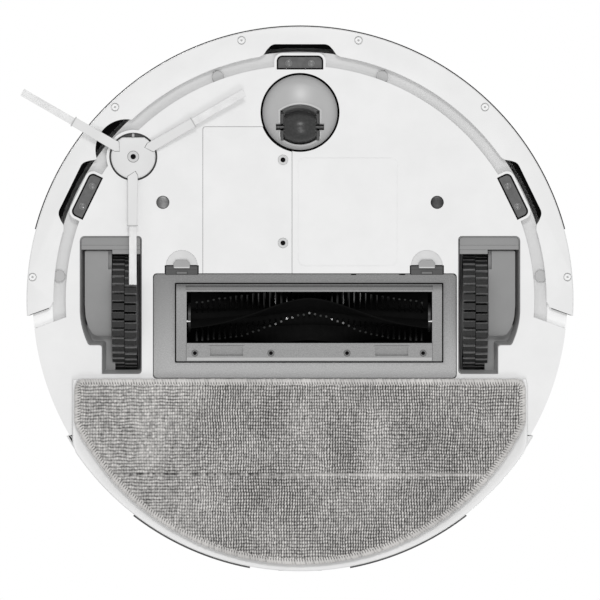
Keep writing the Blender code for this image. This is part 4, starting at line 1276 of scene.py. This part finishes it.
def cover_frame():
    """The removable frame round the brush: its inner edge slopes up towards the opening."""
    limits = (COVER.x0, COVER.x1, COVER.y0, COVER.y1)
    hole = (GUARD.x0 - 0.75, GUARD.x1 + 0.75, GUARD_FRONT - 0.75, GUARD_REAR + 0.9)
    low = COVER.z0
    layers = (
        (limits, 0, 2.6, COVER.z1), (limits, 0, 2.6, low + 0.7), (limits, 0.2, 2.6, low + 0.25),
        (limits, 0.7, 2.6, low), (hole, -3.4, 1.0, low), (hole, -0.6, 0.6, low + 0.5),
        (hole, 0, 0.5, low + 0.9), (hole, 0, 0.5, COVER.z1),
    )
    cuts = []
    for _, centre in LATCH_CENTRES:
        cuts.append(box(centre - 10.5, centre + 10.5, COVER.y0 - 4, COVER.y0 + 0.5, 0, 20))
        cuts.append(box(centre - 10.5, centre + 10.5, COVER.y0 - 4, COVER.y0 + 3.1, low + 0.4, 20))
    for left, right in ((32.7, 35.9), (63.5, 67.3)):
        cuts.append(box(left, right, COVER.y0 - 2, COVER.y0 + 0.7, 0, 20))
    shape = ringed([(inset_rectangle(place, inset, radius), z) for place, inset, radius, z in layers])
    piece("cover_frame", shape, "brush_cover", SPECKLED_PAINTED_SHADE, cuts=cuts,
          replaces="brush_cover_frame", bevel=0.15)


def guard_recesses(left, right, front, rear, low):
    """The mouth, the ridges of the front bar, the ends of the rear bar and its two sloping recesses."""
    cuts = [box(left, right, front, rear, 0, 20)]
    cuts.append(box(left - 0.4, right + 0.4, front - 4.0, front - 3.0, low - 1, low + 1.5))
    cuts.append(box(left - 0.4, right + 0.4, front - 3.1, front - 1.3, low - 1, low + 0.8))
    for x in (left - 0.35, right + 0.1):
        cuts.append(box(x, x + 0.25, rear - 0.2, GUARD_REAR + 1, low - 1, low + 1.2))
    wedge = [(29.6, low - 1), (29.6, low + 0.05), (35.7, low + 2.0), (35.7, low - 1)]
    for centre in (-47.0, 58.7):
        cuts.append(drawn_across(wedge, centre - 10.5, centre + 10.5))
        cuts.append(box(centre - 11.2, centre + 11.2, 29.0, 29.25, low - 1, low + 0.6))
    return cuts


def guard():
    """The plate inside the frame: two side bars, a ridged front bar, and a screwed rear bar with a lip."""
    low = GUARD.z0
    left, right, front, rear = MOUTH
    cuts = guard_recesses(left, right, front, rear, low)
    cuts += [cylinder(x, y, 2.2, 0, low + 1.5, 32) for x, y in GUARD_SCREWS]
    outline = rounded_rectangle(GUARD.x0 + 0.1, GUARD.x1 - 0.1, GUARD_FRONT, GUARD_REAR, 0.4)
    piece("guard_plate", prism(outline, low, GUARD.z1), "brush_guard", GUARD_SPECKLED_PAINTED_SHADE, cuts=cuts,
          replaces="brush_guard", bevel=0.15)
    screw_set("guard", "brush_guard", GUARD_SCREWS, (2.05, 1.5, low + 0.7, low + 2.2),
              (1.49, low + 1.1, low + 2.15, 24), MID_GREY, DEEP_BLACK)
    lip = [
        (36.7, low + 0.1), (36.9, low - 0.2), (38.4, low - 0.3), (GUARD_REAR, low + 0.2),
        (GUARD_REAR, low + 1.2), (36.7, low + 1.2),
    ]
    piece("guard_lip", drawn_across(lip, left + 0.2, right - 0.2), "brush_guard", PEG_GREY, bevel=0.1)
    edge = [
        (front - 1.25, low + 0.35), (front - 0.9, low + 0.02), (front - 0.15, low + 0.02),
        (front - 0.15, low + 1.4), (front - 1.25, low + 1.4),
    ]
    strip = drawn_across(edge, left + 0.05, right - 0.05)
    piece("guard_front_edge", strip, "brush_guard", LIP_GREY, bevel=0.1)
    # Two small white pins at the ends of the mouth: painted glints of the brush axle's tips.
    ends = (left - 0.2, right - 2.4)
    glint_pins = [along_x(cylinder(0, 0, 0.55, 0, 2.6, 16), x, 13.6, low + 1.6) for x in ends]
    piece("guard_axle_tip_glints", merged(glint_pins), "brush_guard", PALE_AND_PAINTED_LIGHT_WHITE)


def chamber_gap_shade():
    """A black sheet behind the gap between the frame and the guard: painted shade in the gap."""
    left, right, front, rear = MOUTH
    outer = rounded_rectangle(COVER.x0 + 6, COVER.x1 - 3, COVER.y0 + 2, COVER.y1 - 4, 2)
    hole = box(left - 3, right + 3, front - 3, rear + 3, 0, 30)
    piece("chamber_gap_shade", prism(outer, 13.65, 14.1), "chassis", DEEP_BLACK, cuts=[hole])


def latch_tab_outline(centre, front):
    """A tab that narrows towards the finger dish."""
    half = ((-5.2, 5.3), (-5.3, 2.2), (-3.5, 0))
    points = [(centre + x, front + y) for x, y in half] + [(centre - x, front + y) for x, y in half[::-1]]
    return fillet(points, [0, 0.5, 0.5, 0.5, 0.5, 0])


def latch(name, centre):
    """A black block in the frame with a light tab, the tab's lip, and the spring behind a window."""
    node = span("cover_latch_" + name)
    front = node.y0
    low = node.z0
    body = "latch_" + name
    outline = rounded_rectangle(centre - 10.2, centre + 10.2, front + 3.9, node.y1, 0.4)
    block = prism(outline, low + 0.5, node.z1)
    step = box(centre - 3.6, centre + 3.6, front + 7.2, node.y1 + 1, 0, low + 0.9)
    ledge = box(centre - 11, centre + 11, front + 3, front + 6.2, 0, low + 0.8)
    piece("latch_block_" + name, block, body, DARK_GREY, cuts=[step, ledge],
          replaces="cover_latch_" + name, bevel=0.15)
    tab = prism(latch_tab_outline(centre, front), low, low + 1.1)
    piece("latch_tab_" + name, tab, body, TAB_GREY, bevel=0.3)
    rim = box(centre - 4.9, centre + 4.9, front + 4.4, front + 5.2, low - 0.15, low + 0.5)
    piece("latch_tab_lip_" + name, rim, body, LIGHT_GREY, bevel=0.1)
    patch = box(centre - 3.3, centre + 3.3, front + 7.5, node.y1 - 0.4, low + 0.75, low + 1.4)
    piece("latch_spring_" + name, patch, body, SPRING_GREY, bevel=0.1)


def twist(x):
    """How far the rows of the main brush have turned at this place: they form a wide, rounded V."""
    reach = abs(x - (ROLL.x0 + ROLL.x1) / 2)
    return 85 * (1 - np.exp(-(reach / 45) ** 1.6))


def on_roll(x, angle, reach, across=0.0):
    """A point on the main brush: the angle is from straight down, positive towards the rear."""
    turn = radians(angle)
    y = ROLL_Y + reach * sin(turn) + across * cos(turn)
    z = ROLL_Z - reach * cos(turn) + across * sin(turn)
    return (x, y, z)


def brush_core():
    profile = [(0, ROLL_LEFT), (5.6, ROLL_LEFT), (5.6, ROLL_RIGHT), (0, ROLL_RIGHT)]
    core = along_x(turned(profile, 48), 0, ROLL_Y, ROLL_Z)
    piece("brush_core", core, "main_brush", BRUSH_BLACK, replaces="main_brush", bevel=0.5)
    caps = []
    for x, sign in ((ROLL_LEFT, -1), (ROLL_RIGHT, 1)):
        profile = [(0, 0), (9.5, 0), (9.5, 1.6), (4.0, 2.4), (3.0, 6.4), (0, 6.4)]
        caps.append(moved(rotated(turned(profile, 48), 90 * sign, "Y"), x, ROLL_Y, ROLL_Z))
    piece("brush_end_caps", merged(caps), "main_brush", BLACK)


def brush_blades():
    """Thin rubber blades along the core, with a rounded outer edge."""
    section = ((5.0, -1.0), (5.0, 1.0), (15.4, 1.3), (15.8, 0.9), (15.8, 0.5))
    steps = 90
    xs = [ROLL_LEFT + (ROLL_RIGHT - ROLL_LEFT) * i / steps for i in range(steps + 1)]
    blades = []
    for row_angle in BLADE_ANGLES:
        blades.append(lofted([
            [on_roll(x, twist(x) + row_angle, reach, across) for reach, across in section] for x in xs
        ]))
    piece("brush_blades", merged(blades), "main_brush", BLADE_BLACK)


def roll_tuft(x, angle, random):
    """A round bundle of nylon bristles that stands out of the core, with a flat trimmed end."""
    lean = random.uniform(-2.0, 2.0)
    twirl = random.uniform(0, tau)
    flutes = 14
    rings = []
    for reach, radius in ((5.0, 0.62), (ROLL_RADIUS - 0.5, 0.78), (ROLL_RADIUS - 0.2, 0.72)):
        ring = []
        for k in range(flutes):
            turn = twirl + tau * k / flutes
            flute = radius * (1.0 + 0.09 * (-1) ** k)
            ring.append(on_roll(x + flute * cos(turn), angle + lean, reach, flute * sin(turn)))
        rings.append(ring)
    return lofted(rings)


def brush_tufts():
    """Rows of bristle bundles that follow the same V as the blades."""
    random = np.random.default_rng(7)
    pitch = 3.6
    middle = (ROLL_LEFT + ROLL_RIGHT) / 2
    count = int((ROLL_RIGHT - ROLL_LEFT - 6) / pitch / 2)
    places = [(row, middle + pitch * i) for row in TUFT_ANGLES for i in range(-count, count + 1)]
    tufts = [roll_tuft(x, twist(x) + row, random) for row, x in places]
    piece("brush_tufts", merged(tufts), "main_brush", TUFT_BLACK)


# Rear module

def rear_outline(radius, front, half_width=None, corner=0.0):
    width = half_width or sqrt(radius ** 2 - front ** 2)
    start = 180 - degrees(asin(width / radius))
    arc = polar_arc(radius, start, 360 - start)
    if not half_width:
        return arc
    points = [(width, front)] + arc + [(-width, front)]
    radii = [0.8, corner] + [0] * (len(arc) - 2) + [corner, 0.8]
    return fillet(points, radii, 6)


def on_tank_side(shape, y):
    """Put a shape that points to the rear at the place of the fill plug in the tank's wall."""
    return rotated(moved(shape, 0, y, 34), 22)


def tank_body():
    low = TANK.z0
    high = TANK.z1
    front = TANK.y0
    radius = REAR_RADIUS
    layers = [
        (rear_outline(radius - 3.0, front), low), (rear_outline(radius - 1.2, front), low + 0.6),
        (rear_outline(radius, front), low + 2.2), (rear_outline(radius, front), high),
    ]
    hollow = prism(rear_outline(radius - 2, front - 3), low + 2, high - 2)
    button = span("tank_release_button")
    hole = box(button.x0 - 0.4, button.x1 + 0.4, 160, 180, button.z0 - 0.4, button.z1 + 0.4)
    plug = on_tank_side(rotated(cylinder(0, 0, 7.8, -10, 10), 90, "X"), 172)
    piece("tank_body", stacked(layers), "tank", WHITE, cuts=[hollow, hole, plug],
          replaces="tank_shell", bevel=0.3)


def tank_plug():
    profile = [(0, -3.0), (7.4, -3.0), (7.4, 1.4), (6.9, 1.9), (5.2, 1.9), (4.9, 1.2), (0, 1.2)]
    shape = on_tank_side(rotated(turned(profile, 64), -90, "X"), 171.4)
    piece("tank_plug", shape, "tank", PEG_GREY, replaces="tank_fill_plug", bevel=0.2)


def tank_button():
    """The release button, with fine upright ribs."""
    node = span("tank_release_button")
    outline = rounded_rectangle(node.x0, node.x1, node.z0, node.z1, 2.0)
    key = lofted([[(x, y, z) for x, z in outline] for y in (node.y0, node.y1)])
    ribs = [
        box(x - 0.4, x + 0.4, node.y1 - 0.5, node.y1 + 1, node.z0 + 2, node.z1 - 2) for x in range(-8, 9, 2)
    ]
    piece("tank_button_cap", key, "tank_button", LIGHT_GREY, cuts=ribs,
          replaces="tank_release_button", bevel=0.4)


def exhaust_grilles():
    for name, side in SIDES:
        start, end = sorted((180 - side * 37.7, 180 - side * 10.6))
        grille = sector(REAR_RADIUS - 0.5, REAR_RADIUS + 2.6, start, end, 44, 62)
        slots = [
            sector(REAR_RADIUS + 1.6, REAR_RADIUS + 4, start + 1, end - 1, z, z + 1.4)
            for z in (46.5, 50.0, 53.5, 57.0)
        ]
        piece("exhaust_grille_" + name, grille, "tank", DARK_GREY, cuts=slots,
              bevel=0.2)


# Mop

def mop_plate():
    """The white plate under the tank: its underside is slightly domed, with a rounded edge."""
    width = PLATE.x1
    radius = 173.5
    rounding = 14.0
    edge = ((9.0, 1.6), (5.6, 1.4), (3.2, 0.55), (1.5, 0.12), (0.7, 0.1), (0.2, 0.5), (0.0, 1.2))
    layers = []
    for inset, rise in edge:
        outline = rear_outline(radius - inset, PLATE.y0 + inset * 0.3, width - inset, rounding)
        layers.append((outline, PLATE.z0 + rise))
    layers.append((layers[-1][0], PLATE.z1))
    count = min(len(outline) for outline, _ in layers)
    layers = [(resampled(outline, count), z) for outline, z in layers]
    piece("mop_plate_body", stacked(layers), "mop", BRIGHT, replaces="mop_plate")


def resampled(outline, count):
    """The closed outline with this many points, evenly spaced along it."""
    points = np.array(outline + outline[:1])
    steps = np.hypot(*np.diff(points, axis=0).T)
    along = np.concatenate([[0], np.cumsum(steps)])
    places = np.linspace(0, along[-1], count, endpoint=False)
    return list(zip(np.interp(places, along, points[:, 0]), np.interp(places, along, points[:, 1])))


def pad_outline(inset):
    """The pad's edge: a straight front with small corners, and one arc behind."""
    corner = PAD_CORNER
    front = PAD.y0 + inset
    half = PAD.x1 - inset
    radius = PAD.y1 - PAD_ARC_Y - inset
    side_end = PAD_ARC_Y + sqrt(radius ** 2 - half ** 2)
    start = degrees(asin((side_end - PAD_ARC_Y) / radius))
    points = circle_arc(half - corner, front + corner, corner, -90, 0, 10)
    points += circle_arc(0, PAD_ARC_Y, radius, start, 180 - start, 1.5)
    points += circle_arc(corner - half, front + corner, corner, 180, 270, 10)
    return points


def depth_inside_pad(x, y):
    """How far a point is inside the pad's edge, in millimetres (negative outside)."""
    from_arc = PAD.y1 - PAD_ARC_Y - np.hypot(x, y - PAD_ARC_Y)
    from_side = PAD.x1 - np.abs(x)
    from_front = y - PAD.y0
    return np.minimum(np.minimum(from_arc, from_side), from_front)


def smooth_noise(x, y, size, seed):
    """Value noise of this feature size, between -1 and 1."""
    random = np.random.default_rng(seed)
    table = random.uniform(-1, 1, (64, 64))
    u = x / size
    v = y / size
    i = np.floor(u).astype(int)
    j = np.floor(v).astype(int)
    a = u - i
    b = v - j
    a = a * a * (3 - 2 * a)
    b = b * b * (3 - 2 * b)
    corners = [table[(i + di) % 64, (j + dj) % 64] for di, dj in ((0, 0), (1, 0), (0, 1), (1, 1))]
    near = corners[0] * (1 - a) + corners[1] * a
    far = corners[2] * (1 - a) + corners[3] * a
    return near * (1 - b) + far * b


def pile(x, y):
    """Rows of loops, which wander a little and lie flatter towards the robot's right."""
    wander = 0.5 * smooth_noise(x, y, 9.0, 1) + 0.28 * smooth_noise(x, y, 3.4, 2)
    sway = 0.6 * smooth_noise(x, y, 14.0, 3) + 0.28 * smooth_noise(x, y, 4.0, 4)
    rows = (y + wander) / LOOP_ROW_PITCH
    number = np.floor(rows)
    columns = (x + sway + 0.2 * (y % LOOP_ROW_PITCH)) / LOOP_COLUMN_PITCH + 0.06 * (number % 2)
    across = 0.5 - 0.5 * np.cos(tau * rows)
    along = 0.5 - 0.5 * np.cos(tau * columns)
    flattened = np.clip((-x - 50) / 40, 0, 1)
    row_depth = 0.55 + 0.16 * smooth_noise(x, y, 16.0, 10)
    column_depth = 0.94 - 0.55 * flattened + 0.14 * smooth_noise(x, y, 26.0, 11)
    crown = (1 - row_depth * (1 - across)) * (1 - column_depth * (1 - along)) * (1 - 0.26 * flattened)
    cell = smooth_noise(number * 7.3 + 0.5, np.floor(columns) * 5.1, 1.0, 5)
    return crown * (0.82 + 0.26 * cell) + 0.12 * smooth_noise(x, y, 0.7, 6)


def loop_relief(x, y):
    """The height of the pad's face from 0, a gap between loops, to 1, the crown of a loop.

    A sewn seam runs across it: a sunk line with deeper dashes, which the cloth's painted shade turns dark,
    and a low crest behind it.
    """
    height = pile(x, y)
    seam_line = SEAM_Y + 0.4 * smooth_noise(x, y, 12.0, 8)
    seam = np.exp(-((y - seam_line) / 0.8) ** 2)
    ridge = np.exp(-((y - seam_line - 0.8) / 0.75) ** 2)
    dashes = 0.5 + 0.5 * smooth_noise(x, 0 * y, 1.7, 9)
    worn = np.clip((x + 40) / 60, 0, 1)
    stitched = height * (1 - 0.6 * seam) + 0.34 * seam
    dips = (0.5 - 0.36 * worn) * seam * dashes
    crest = (0.08 + 0.08 * worn) * ridge * (1 + 0.4 * smooth_noise(x, y, 2.0, 12))
    return np.clip(stitched - dips + crest, 0, 1)


def cloth_piece(name, points, faces, shade_levels, material):
    """A piece of the pad whose material reads the painted shade of the loops from its points."""
    mesh = bpy.data.meshes.new(name)
    mesh.from_pydata(points, [], faces)
    attribute = mesh.attributes.new("loop_shade", "FLOAT", "POINT")
    attribute.data.foreach_set("value", np.array(shade_levels, np.float32))
    mesh.materials.append(material)
    made = linked(name, mesh)
    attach(made, "mop")
    return made


def close_back(mesh, back_height):
    """Drop loose points, extrude the rim of the sheet up to the back's height and fill the back."""
    shape = bmesh.new()
    shape.from_mesh(mesh)
    loose = [v for v in shape.verts if not v.link_faces]
    bmesh.ops.delete(shape, geom=loose, context="VERTS")
    rim = [e for e in shape.edges if e.is_boundary]
    walls = bmesh.ops.extrude_edge_only(shape, edges=rim)["geom"]
    for vertex in [g for g in walls if isinstance(g, bmesh.types.BMVert)]:
        vertex.co.z = back_height
    back = [g for g in walls if isinstance(g, bmesh.types.BMEdge) and g.is_boundary]
    bmesh.ops.edgenet_fill(shape, edges=back)
    bmesh.ops.recalc_face_normals(shape, faces=shape.faces)
    shape.to_mesh(mesh)
    shape.free()


def pad_cloth():
    """The looped face of the pad: a fine grid pressed into rows of loops, closed by a flat back."""
    pitch = 0.42
    margin = 1.5
    xs = np.arange(PAD.x0 + margin, PAD.x1 - margin, pitch)
    ys = np.arange(PAD.y0 + margin, PAD.y1 - margin, pitch)
    x, y = np.meshgrid(xs, ys)
    depth = depth_inside_pad(x, y)
    inside = depth > 1.8
    relief = loop_relief(x, y)
    edge_lift = 1.2 * np.clip((3.4 - depth) / 2.0, 0, 1)
    z = PAD.z0 + 0.05 + 1.15 * (1 - relief) + edge_lift
    index = -np.ones(x.shape, int)
    index[inside] = np.arange(inside.sum())
    full = inside[:-1, :-1] & inside[1:, :-1] & inside[:-1, 1:] & inside[1:, 1:]
    quads = [
        (index[j, i], index[j + 1, i], index[j + 1, i + 1], index[j, i + 1])
        for j, i in zip(*np.nonzero(full))
    ]
    points = np.stack([x[inside], y[inside], z[inside]], axis=1) * MM
    made = cloth_piece("pad_cloth", points.tolist(), quads, relief[inside], CLOTH)
    close_back(made.data, (PAD.z1 - 0.3) * MM)
    made.data.shade_smooth()
    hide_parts("mop_pad")
    return made


def hem_section(centre, out, turns, jitter):
    """One ring of the hem: its points, and how much painted shade the thread gets at each of them."""
    points = []
    shade_levels = []
    for angle in [tau * k / HEM_SIDES for k in range(HEM_SIDES)]:
        slant = 0.35 * cos(angle)
        thread = 0.5 + 0.5 * cos((turns + slant) * tau)
        swell = 1.0 + 0.07 * (thread - 0.5) + jitter * 0.9
        point = centre + out * (2.2 * swell * cos(angle))
        rise = 1.75 * swell * sin(angle)
        points.append((point[0] * MM, point[1] * MM, (PAD.z0 + 1.95 + rise) * MM))
        # Painted shade: near black at the needle holes, and lighter where each turn of thread swells out.
        shaded_needle_hole = thread < 0.4 and cos(angle) < -0.2 and sin(angle) < -0.3
        shade_levels.append(0.05 if shaded_needle_hole else 0.62 + 0.26 * thread + 1.2 * jitter)
    return points, shade_levels


def pad_hem():
    """The overlocked edge: a rounded roll wound with thread, one turn to each stitch."""
    samples_per_stitch = 6
    outline = pad_outline(2.35)
    steps = np.diff(np.array(outline + outline[:1]), axis=0)
    stitches = round(np.hypot(*steps.T).sum() / STITCH_PITCH)
    path = np.array(resampled(outline, stitches * samples_per_stitch))
    ahead = np.roll(path, -1, axis=0) - np.roll(path, 1, axis=0)
    ahead /= np.hypot(*ahead.T)[:, None]
    outward = np.stack([ahead[:, 1], -ahead[:, 0]], axis=1)
    jitter = np.random.default_rng(21).uniform(-0.12, 0.12, stitches)
    points = []
    shade_levels = []
    for i, (centre, out) in enumerate(zip(path, outward)):
        turns = i / samples_per_stitch
        ring, shaded_tones = hem_section(centre, out, turns, jitter[i // samples_per_stitch])
        points += ring
        shade_levels += shaded_tones
    faces = []
    for i in range(len(path)):
        near = i * HEM_SIDES
        far = (i + 1) % len(path) * HEM_SIDES
        for k in range(HEM_SIDES):
            m = (k + 1) % HEM_SIDES
            faces.append((near + k, near + m, far + m, far + k))
    made = cloth_piece("pad_hem", points, faces, shade_levels, HEM)
    made.data.shade_smooth()
    return made


# Top of the robot

def top():
    """The top shell, with a fine groove near its rim and holes for the turret and the buttons."""
    node = span("top_cover")
    high = node.z1
    radius = node.x1
    inner = radius - 2.5
    points = [
        (0, high), (158, high), (158.4, high - 0.45), (159.2, high - 0.45), (159.6, high),
        (166, high - 0.2), (170.6, high - 2.6), (radius, high - 6), (radius, node.z0), (inner, node.z0),
        (inner, high - 6.5), (164, high - 2.5), (0, high - 2.5),
    ]
    profile = fillet(points, [0, 0, 0, 0, 0, 6.0, 5.0, 4.0, 0.6, 0, 3, 3, 0], 12)
    keys = [(name, span(name)) for name in ("power_button", "home_button")]
    cuts = [cylinder(0, TURRET_Y, 38.5, 60, high + 5, 120)]
    cuts += [cylinder(*centre_of(key), 9.4, 60, high + 5, 64) for _, key in keys]
    piece("top_shell", turned(profile, 240), "chassis", WHITE, cuts=cuts, replaces="top_cover", bevel=0.3)
    for name, key in keys:
        profile = [
            (0, key.z0), (9.0, key.z0), (9.0, key.z1 - 0.6), (8.4, key.z1 - 0.1), (6.5, key.z1 - 0.05),
            (0, key.z1 - 0.5),
        ]
        piece(name + "_cap", moved(turned(profile, 72), *centre_of(key)), name, LIGHT_GREY, replaces=name)


def turret_ring():
    node = span("lidar_base")
    rim = 38.0
    points = [
        (rim, node.z0), (rim, 81.4), (rim + 3, 81.4), (rim + 3, 82.2), (rim + 2, node.z1),
        (rim - 2, node.z1), (rim - 2, 68), (6, 68), (6, node.z0),
    ]
    piece("turret_ring", moved(turned(points, 144), 0, TURRET_Y), "chassis", MID_GREY,
          replaces="lidar_base", bevel=0.25)


def turret_rotor():
    """The turning drum, with one wide window and one narrow one."""
    node = span("lidar_rotor")
    profile = [
        (0, node.z0), (5.5, node.z0), (5.5, 72), (33, 72), (33, 74), (28, 76), (28, node.z1), (0, node.z1),
    ]
    windows = [
        moved(rotated(box(20, 32, -half, half, 78, 88), angle), 0, TURRET_Y)
        for half, angle in ((8, 150), (5, 210))
    ]
    piece("rotor_drum", moved(turned(profile, 96), 0, TURRET_Y), "lidar_rotor", BLACK, cuts=windows,
          replaces="lidar_rotor", bevel=0.3)


def turret_cap():
    """The cap on three pillars, with a fine groove in its top."""
    node = span("lidar_cap")
    high = node.z1
    radius = 40.0
    points = [
        (0, 93), (radius - 1, 93), (radius, 94), (radius, high - 1.6), (radius - 2.2, high),
        (radius - 12, high), (radius - 12.3, high - 0.3), (radius - 12.9, high - 0.3),
        (radius - 13.2, high), (0, high),
    ]
    pillars = []
    for direction in (60, 180, 300):
        pillar = sector(34.5, 39.2, direction - 9, direction + 9, node.z0, 93.6)
        pillars.append(moved(pillar, 0, TURRET_Y))
    piece("turret_cap", moved(turned(points, 144), 0, TURRET_Y), "lidar_cap", LIGHT_GREY, pillars,
          replaces="lidar_cap", bevel=0.3)


def finish_inner_nodes():
    """Nodes that show only through gaps or when something is taken out keep their shape."""
    finishes = (
        (WRAP, "battery_pack"),
        (BOARD, "main_board"),
        (PAPER, "dust_filter"),
        (WINDOW, "dust_bin"),
        (LIGHT_GREY, "blower_impeller"),
        (DARK_METAL_AND_SHADED_CONTACT, "caster_axle"),
        (MID_GREY, "wheel_hub_left wheel_hub_right"),
        (DEEP_BLACK, "caster_cup brush_chamber bumper_liner"),
        (BLACK, "blower_housing fan_duct side_brush_motor bumper_switch_left bumper_switch_right"),
        (STEEL, "blower_motor brush_motor suspension_spring_left suspension_spring_right"),
        (STEEL, "wheel_motor_left wheel_motor_right"),
    )
    for material, names in finishes:
        for name in names.split():
            node = frame["nodes"][name]
            node.data.materials.clear()
            node.data.materials.append(material)


# Camera, light and floor

def camera():
    """A long lens far below the robot, looking straight up."""
    lens = bpy.data.cameras.new("camera")
    lens.lens = 600.0
    lens.clip_end = 60.0
    distance = 6.4
    view = linked("camera", lens)
    view.location = (0, 0, UNDERSIDE * MM - distance)
    view.rotation_euler = (pi, 0, 0)
    bpy.context.scene.camera = view


def area_light(name, place, size, power, aim=(0, 0, 0.02)):
    """A round lamp; places are in metres."""
    light = bpy.data.lights.new(name, "AREA")
    light.shape = "DISK"
    light.size = size
    light.energy = power
    lamp = linked(name, light)
    lamp.location = place
    lamp.rotation_euler = (Vector(aim) - Vector(place)).to_track_quat("-Z", "Y").to_euler()


def show_by_factor(tree, factor, first, second, output):
    """Show the first shader where the factor is 0, and the second where it is 1."""
    mix = tree.nodes.new("ShaderNodeMixShader")
    tree.links.new(factor, mix.inputs["Fac"])
    tree.links.new(first, mix.inputs[1])
    tree.links.new(second, mix.inputs[2])
    tree.links.new(mix.outputs["Shader"], output.inputs["Surface"])


def world():
    """White to the camera, and a soft even light to everything else."""
    sky = bpy.data.worlds.new("studio")
    bpy.context.scene.world = sky
    sky.use_nodes = True
    tree = sky.node_tree
    tree.nodes.clear()
    backgrounds = []
    for strength in (0.57, 1.0):
        background = tree.nodes.new("ShaderNodeBackground")
        background.inputs["Color"].default_value = (1, 1, 1, 1)
        background.inputs["Strength"].default_value = strength
        backgrounds.append(background.outputs["Background"])
    path = tree.nodes.new("ShaderNodeLightPath")
    output = tree.nodes.new("ShaderNodeOutputWorld")
    show_by_factor(tree, path.outputs["Is Camera Ray"], *backgrounds, output)


def floor():
    """A pale floor that shows from above only, so that the underside can be seen from below."""
    nodes = Nodes("floor")
    nodes.colour(nodes.noise(3.0, 2.0), (0.3, grey(240)), (0.7, grey(244)))
    nodes.surface(Roughness=0.6)
    side = nodes.add("ShaderNodeNewGeometry")
    clear = nodes.add("ShaderNodeBsdfTransparent")
    show_by_factor(nodes.tree, side.outputs["Backfacing"], nodes.shader.outputs["BSDF"],
                   clear.outputs["BSDF"], nodes.tree.nodes["Material Output"])
    half = 6.0
    height = -0.0002
    corners = [(-half, -half, height), (half, -half, height), (half, half, height), (-half, half, height)]
    mesh = bpy.data.meshes.new("floor")
    mesh.from_pydata(corners, [], [(0, 1, 2, 3)])
    mesh.materials.append(nodes.material)
    ground = linked("floor", mesh)
    ground.visible_diffuse = False
    ground.visible_glossy = False
    ground.visible_shadow = False
    ground.visible_transmission = False


def studio():
    camera()
    world()
    floor()
    area_light("key_below", (0.1, -1.3, -2.6), 1.0, 10)
    area_light("key_behind", (0.3, 1.3, -2.6), 1.0, 12)
    area_light("brush_glint", (0.03, -1.3, -2.6), 0.22, 8)
    area_light("camera_side_light", (0.0, 0.28, -2.7), 0.16, 6)
    area_light("key_above", (-1.2, -1.4, 2.4), 1.6, 55)
    area_light("fill_above", (1.6, 1.2, 2.0), 2.0, 26)
    settings = bpy.context.scene.view_settings
    settings.view_transform = "Standard"
    settings.look = "None"


def build():
    studio()
    chassis_shell()
    groove_floor()
    bumper_end_steps()
    guide_pegs()
    finger_dishes()
    battery_door()
    cliff_sensors()
    charging_contacts()
    bumper()
    for name, side in SIDES:
        wheel_well(name, side)
        well_covers(name, side)
        gearbox(name, side)
        tyre(name, side)
    caster_dome()
    caster_slot_lip()
    caster_cheeks()
    caster_roller()
    side_brush()
    cover_frame()
    guard()
    chamber_gap_shade()
    for name, centre in LATCH_CENTRES:
        latch(name, centre)
    brush_core()
    brush_blades()
    brush_tufts()
    tank_body()
    tank_plug()
    tank_button()
    exhaust_grilles()
    mop_plate()
    cloth = pad_cloth()
    hem = pad_hem()
    top()
    turret_ring()
    turret_rotor()
    turret_cap()
    finish_inner_nodes()
    return cloth, hem


CLOTH_PIECE, HEM_PIECE = build()
